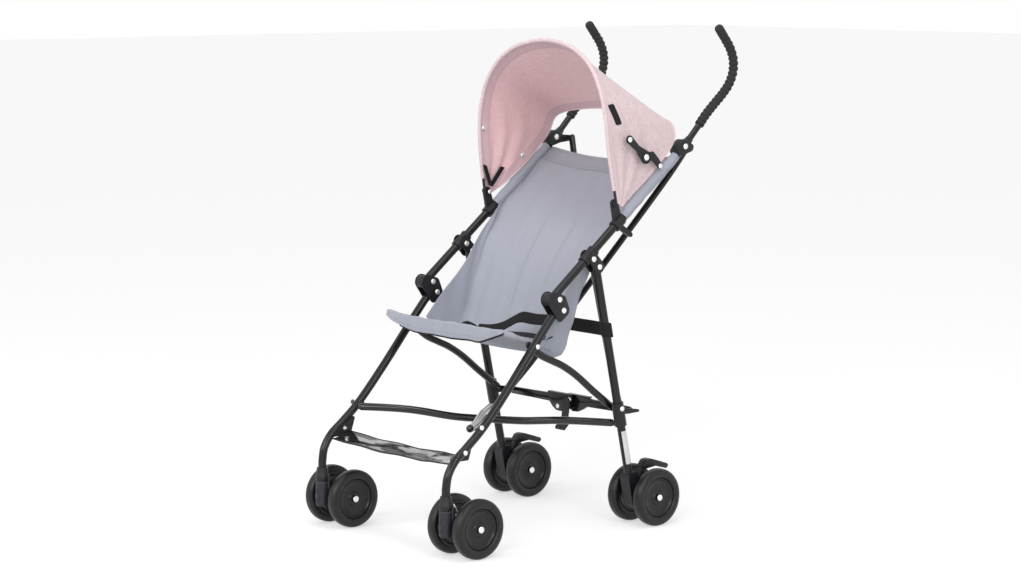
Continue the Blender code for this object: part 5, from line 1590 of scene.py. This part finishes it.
    def build_straps(self) -> None:
        """The short elastic straps at the clamps: two on the right side and the rear one on the left."""
        for side in Side:
            x = side.x - side.value * 0.0045
            foot = at(x, *self.elastic_foot)
            for label, (inset, *spot) in self.elastic_tops:
                if side is Side.LEFT and label == "front":
                    continue
                top = at(x - side.value * inset, *spot)
                line = [foot, foot.lerp(top, 0.35), foot.lerp(top, 0.7), top]
                Belt(f"canopy_elastic_{label}_{side.word}", "canopy", line, Vector((0, 0.95, -0.3)), 0.0125,
                     keep=CANOPY_KEEP, held="stretched", rests_on="bow_wire").build()

    def build_snaps(self) -> None:
        """The snap fasteners on the inside of the canopy's sides."""
        profile = [(r * 1.15, a) for r, a in RIVET_PROFILE]
        for name, body, (x, y, h) in self.snaps:
            snaps = [Bench.turned("snap", profile, at(s * x, y, h), (-s, 0, 0), 20) for s in (1, -1)]
            dress(Bench.joined(f"canopy_snaps_{name}", snaps), Look.STEEL, "canopy_cloth", body, keep=CANOPY_KEEP)

    def build_tag(self, front: np.ndarray, rear: np.ndarray) -> None:
        """A blank woven tag sewn on the near side panel."""
        cloud = front.reshape(-1, 3)
        corners = self.tag_corners
        rows = []
        near = cloud[cloud[:, 0] > 0.1]
        for t in np.linspace(0, 1, 9):
            row = []
            for u in np.linspace(0, 1, 5):
                y, h = on_line(on_line(corners[0], corners[3], t), on_line(corners[1], corners[2], t), u)
                spot = np.array(at(0.0, y, h))
                gap = np.linalg.norm(near[:, 1:] - spot[1:], axis=1)
                best = np.argsort(gap)[:6]
                weight = 1 / (gap[best] + 1e-4)
                x = float((near[best, 0] * weight).sum() / weight.sum())
                row.append((x + 0.0016, spot[1], spot[2]))
            rows.append(row)
        grid = np.array(rows)
        tag = Bench.cloth("blank_tag", grid, 0.0008, levels=1)
        dress(tag, Look.WEBBING, "black_webbing", "canopy", keep=CANOPY_KEEP)
        declare(tag, grid, "stretched", "canopy_front_panel")


@dataclass
class Stretcher:
    """One two-link canopy stretcher with its rivets."""

    side: Side
    pins: tuple[Pair, Pair, Pair] = ((0.424, 0.741), (0.470, 0.703), (0.513, 0.683))

    def build(self) -> None:
        """Builds both links and sets their rivets."""
        s = self.side.value
        x = s * (HALF_TRACK + 0.0130)
        word = self.side.word
        top, middle, low = self.pins
        links = (("upper", [(*top, 0.0092), (*on_line(top, middle, 0.5), 0.0066)],
                  [(*on_line(top, middle, 0.5), 0.0066), (*middle, 0.0138)], 0.0, 0.0028),
                 ("lower", [(*middle, 0.0120), (0.4860, 0.7040, 0.0090)],
                  [(0.4900, 0.7060, 0.0082), (0.5010, 0.6960, 0.0078), (*low, 0.0066)], -0.0034, -0.0006))
        for label, first, second, near, far in links:
            parts = [Bench.plate("wing", round_outline(hull), x + s * (near + inset), x + s * (far - inset), 0.0008)
                     for hull, inset in ((first, 0.00025), (second, 0.0))]
            if label == "upper":
                parts.append(Bench.turned("rim", ((0.0104, 0.0), (0.0120, 0.0), (0.0120, 0.0008), (0.0104, 0.0008)),
                                          at(x + s * far, *middle), (s, 0, 0), 32))
            dress(Bench.joined(f"stretcher_{label}_{word}", parts), Look.PLASTIC, "black_plastic",
                  f"canopy_stretcher_{label}_{word}", f"canopy_stretcher_{label}_{word}")
        upper = RivetSet(f"stretcher_rivets_upper_{word}", f"canopy_stretcher_upper_{word}")
        upper.add(at(x + s * 0.0028, *top), (s, 0, 0), 1.05)
        upper.add(at(x + s * 0.0028, *middle), (s, 0, 0), 1.25)
        upper.close()
        lower = RivetSet(f"stretcher_rivets_lower_{word}", f"canopy_stretcher_lower_{word}")
        lower.add(at(x - s * 0.0006, *low), (s, 0, 0), 1.0)
        lower.close()


class LockLink:
    """The two pressed plates of the rear lock link, with their flanges and rivets."""

    def upright(self, name: str, outline: Outline, y_from: float, y_to: float) -> Piece:
        """A plate that faces backwards, from its outline of (x, h)."""
        plate = Bench.plate(name, outline, 0.0, y_from - y_to, 0.0006)
        plate.data.transform(Matrix(((0, 1, 0, 0), (-1, 0, 0, 0), (0, 0, 1, 0), (0, 0, 0, 1))))
        plate.data.transform(Matrix.Translation((MID_Y, y_from - MID_Y, 0)))
        return Bench.clean(plate)

    def build(self) -> None:
        """Builds both plates and the rivets."""
        far = [(-0.180, 0.1845), (-0.120, 0.1850), (-0.064, 0.1860), (-0.056, 0.1905), (0.010, 0.1895), (0.014, 0.1840),
               (0.012, 0.1700), (0.004, 0.1600), (-0.008, 0.1530), (-0.022, 0.1500), (-0.036, 0.1508),
               (-0.047, 0.1570), (-0.058, 0.1680), (-0.120, 0.1690), (-0.180, 0.1695), (-0.1862, 0.1730),
               (-0.1875, 0.1770), (-0.1862, 0.1810)]
        near = [(0.180, 0.1845), (0.1862, 0.1810), (0.1875, 0.1770), (0.1862, 0.1730), (0.180, 0.1695), (0.120, 0.1690),
                (0.052, 0.1680), (0.040, 0.1610), (0.024, 0.1540), (0.008, 0.1530), (-0.006, 0.1590), (-0.013, 0.1700),
                (-0.012, 0.1820), (-0.004, 0.1875), (0.056, 0.1870), (0.066, 0.1855), (0.120, 0.1850)]
        for word, outline, y_from, y_to in (("right", far, 0.4496, 0.4560), ("left", near, 0.4568, 0.4636)):
            body = f"lock_link_{word}"
            plate = self.upright("plate", outline, y_from, y_to)
            ends = (-0.060, 0.012) if word == "right" else (-0.006, 0.062)
            lip = [(ends[0], 0.1880), (ends[1], 0.1876), (ends[1], 0.1902), (ends[0], 0.1908)]
            flange = self.upright("flange", lip, y_from - 0.0030, y_to + 0.0008)
            dress(Bench.joined(f"lock_plate_{word}", [plate, flange]), Look.FRAME, "black_steel", body, body)
        rivets = RivetSet("lock_rivets_right", "lock_link_right")
        for x, h in ((-0.0308, 0.1605), (0.0060, 0.1790), (-0.0040, 0.1640)):
            rivets.add(at(x, 0.4496, h), (0, -1, 0), 1.0)
        rivets.close()


@dataclass
class BrakePedal:
    """One foot lever over the rear wheels, with its downturned tip."""

    side: Side
    half: float = 0.0105
    outline: Outline = ((0.4716, 0.0604), (0.4812, 0.0730), (0.4860, 0.0746), (0.4955, 0.0750), (0.5415, 0.0600),
                        (0.5445, 0.0572), (0.5440, 0.0536), (0.5392, 0.0492), (0.5345, 0.0505), (0.5101, 0.0581),
                        (0.4849, 0.0555), (0.4760, 0.0565))
    rib: Outline = ((0.503, 0.0730), (0.506, 0.0720), (0.506, 0.0690), (0.503, 0.0700))
    rib_step: Pair = (0.008, -0.0026)
    ribs: int = 4

    def build(self) -> None:
        """Builds and dresses the pedal."""
        word, x = self.side.word, self.side.x
        body = Bench.plate("lever", self.outline, x - self.half, x + self.half, 0.0018)
        arm = Bench.plate("arm", round_outline([(0.4740, 0.0360, 0.0078), (0.4800, 0.0600, 0.0062)]),
                          x - self.half * 0.6, x + self.half * 0.6, 0.0012)
        ribs = [Bench.plate("rib", [(y + self.rib_step[0] * k, h + self.rib_step[1] * k) for y, h in self.rib],
                            x - self.half + 0.003, x + self.half - 0.003, 0.0004) for k in range(self.ribs)]
        dress(Bench.joined(f"foot_lever_{word}", [body, arm, *ribs]), Look.PLASTIC, "black_plastic",
              f"brake_pedal_{word}", f"brake_pedal_{word}")


@dataclass
class CadFinish:
    """The CAD nodes that stay, with rounded edges and their finishes."""

    frame: dict
    edge: float = 0.0009

    def build(self) -> None:
        """Dresses every node that is still shown."""
        for name, node in self.frame["nodes"].items():
            if node.hide_render:
                continue
            steel = bool(node.data.materials) and node.data.materials[0].name.startswith("black_steel")
            for material_slot in node.material_slots:
                material_slot.material = (Look.FRAME if steel else Look.PLASTIC).value.build()
            Bench.modify(node, "WELD", apply=False, merge_threshold=0.00001)
            Bench.modify(node, "BEVEL", apply=False, width=self.edge, segments=2, limit_method="ANGLE",
                         angle_limit=math.radians(30), harden_normals=False)
            for polygon in node.data.polygons:
                polygon.use_smooth = False
            log.info("%s keeps its CAD shape", name)


@dataclass
class Studio:
    """The camera, the floor and the light."""

    azimuth: float = 49.12
    elevation: float = 7.00
    distance: float = 5.544
    lens: float = 94.46
    target: Place = (0.0, 0.290 - MID_Y, 0.490)
    floor_size: float = 60.0
    floor_grey: float = 0.62
    floor_glow: float = 0.50
    world_lights: Pair = (0.60, 1.0)
    sun_place: Place = (1.8, -2.8, 2.2)
    sun_power: float = 0.70
    sun_width: float = 24.0
    boxes: tuple[tuple[str, Place, Pair, float], ...] = (
        ("strip_front", (-0.6, -3.0, 1.9), (0.8, 2.2), 27.0), ("strip_side", (3.2, -0.9, 1.7), (0.8, 2.4), 27.0),
        ("strip_top", (0.8, -0.6, 3.4), (0.8, 2.0), 16.0))

    def build(self) -> None:
        """Sets the camera first, then the floor and the lamps."""
        self.set_camera()
        self.set_floor()
        self.set_light()
        bpy.context.scene.view_settings.view_transform = "Standard"

    def set_camera(self) -> None:
        """The camera of the photograph."""
        a, e = math.radians(self.azimuth), math.radians(self.elevation)
        back = Vector((math.sin(a) * math.cos(e), -math.cos(a) * math.cos(e), math.sin(e)))
        data = bpy.data.cameras.new("camera")
        data.lens = self.lens
        data.sensor_width = 36.0
        data.clip_start, data.clip_end = 0.05, 200.0
        camera = bpy.data.objects.new("camera", data)
        bpy.context.scene.collection.objects.link(camera)
        camera.rotation_mode = "QUATERNION"
        camera.location = Vector(self.target) + back * self.distance
        camera.rotation_quaternion = (-back).to_track_quat("-Z", "Y")
        bpy.context.scene.camera = camera

    def set_floor(self) -> None:
        """A wide pale floor that keeps the shadow and looks white to the camera."""
        Bench.clear_selection()
        bpy.ops.mesh.primitive_plane_add(size=self.floor_size)
        floor = bpy.context.object
        floor.name = "floor"
        graph = Graph(bpy.data.materials.new("pale_floor"))
        grey = graph.node("ShaderNodeBsdfDiffuse", inputs={"Color": (*[self.floor_grey] * 3, 1.0)})
        glow = graph.node("ShaderNodeEmission", inputs={
            "Color": WHITE, "Strength": graph.rays("Camera", "Glossy") * self.floor_glow})
        floor.data.materials.append(graph.close(graph.node("ShaderNodeAddShader", inputs={0: grey, 1: glow})))

    def set_light(self) -> None:
        """An even world that the camera and reflections see white, a sun and three soft boxes."""
        graph = Graph(bpy.data.worlds.new("studio"))
        bpy.context.scene.world = graph.owner
        seen = graph.rays("Camera", "Glossy", "Transmission")
        seen.socket.node.use_clamp = True
        dim, white = (graph.node("ShaderNodeBackground", inputs={"Color": WHITE, "Strength": strength})
                      for strength in self.world_lights)
        graph.close(graph.node("ShaderNodeMixShader", inputs={0: seen, 1: dim, 2: white}))
        sun = bpy.data.lights.new("sun", "SUN")
        sun.energy = self.sun_power
        sun.angle = math.radians(self.sun_width)
        self.place_lamp(sun, self.sun_place)
        for name, place, size, power in self.boxes:
            box = bpy.data.lights.new(name, "AREA")
            box.shape = "RECTANGLE"
            box.size, box.size_y = size
            box.energy = power
            self.place_lamp(box, place)

    def place_lamp(self, data: bpy.types.Light, place: Place) -> None:
        """Puts a lamp at a place, looking at the stroller."""
        lamp = bpy.data.objects.new(data.name, data)
        bpy.context.scene.collection.objects.link(lamp)
        lamp.location = place
        lamp.rotation_mode = "QUATERNION"
        lamp.rotation_quaternion = (Vector(self.target) - Vector(place)).to_track_quat("-Z", "Y")


def main() -> None:
    """Builds the stroller's looks in order."""
    logging.basicConfig(level=logging.INFO, format="%(name)s: %(message)s")
    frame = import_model()
    Studio().build()
    for side in Side:
        PushSide(side).build()
        FrontLeg(side).build()
        RearLeg(side).build()
        SeatRail(side).build()
        Caster(side).build()
        back_arm(side).build()
        lower_bar(side).build()
        Stretcher(side).build()
        BrakePedal(side).build()
        WheelPair(side, "front", (0.0, 0.0), f"caster_{side.word}").build()
        WheelPair(side, "rear", REAR_AXLE, f"rear_leg_{side.word}").build()
    SeatSling().build()
    Harness().build()
    Footrest().build()
    RearStrap().build()
    Canopy().build()
    LockLink().build()
    CadFinish(frame).build()


if __name__ == "__main__":
    main()
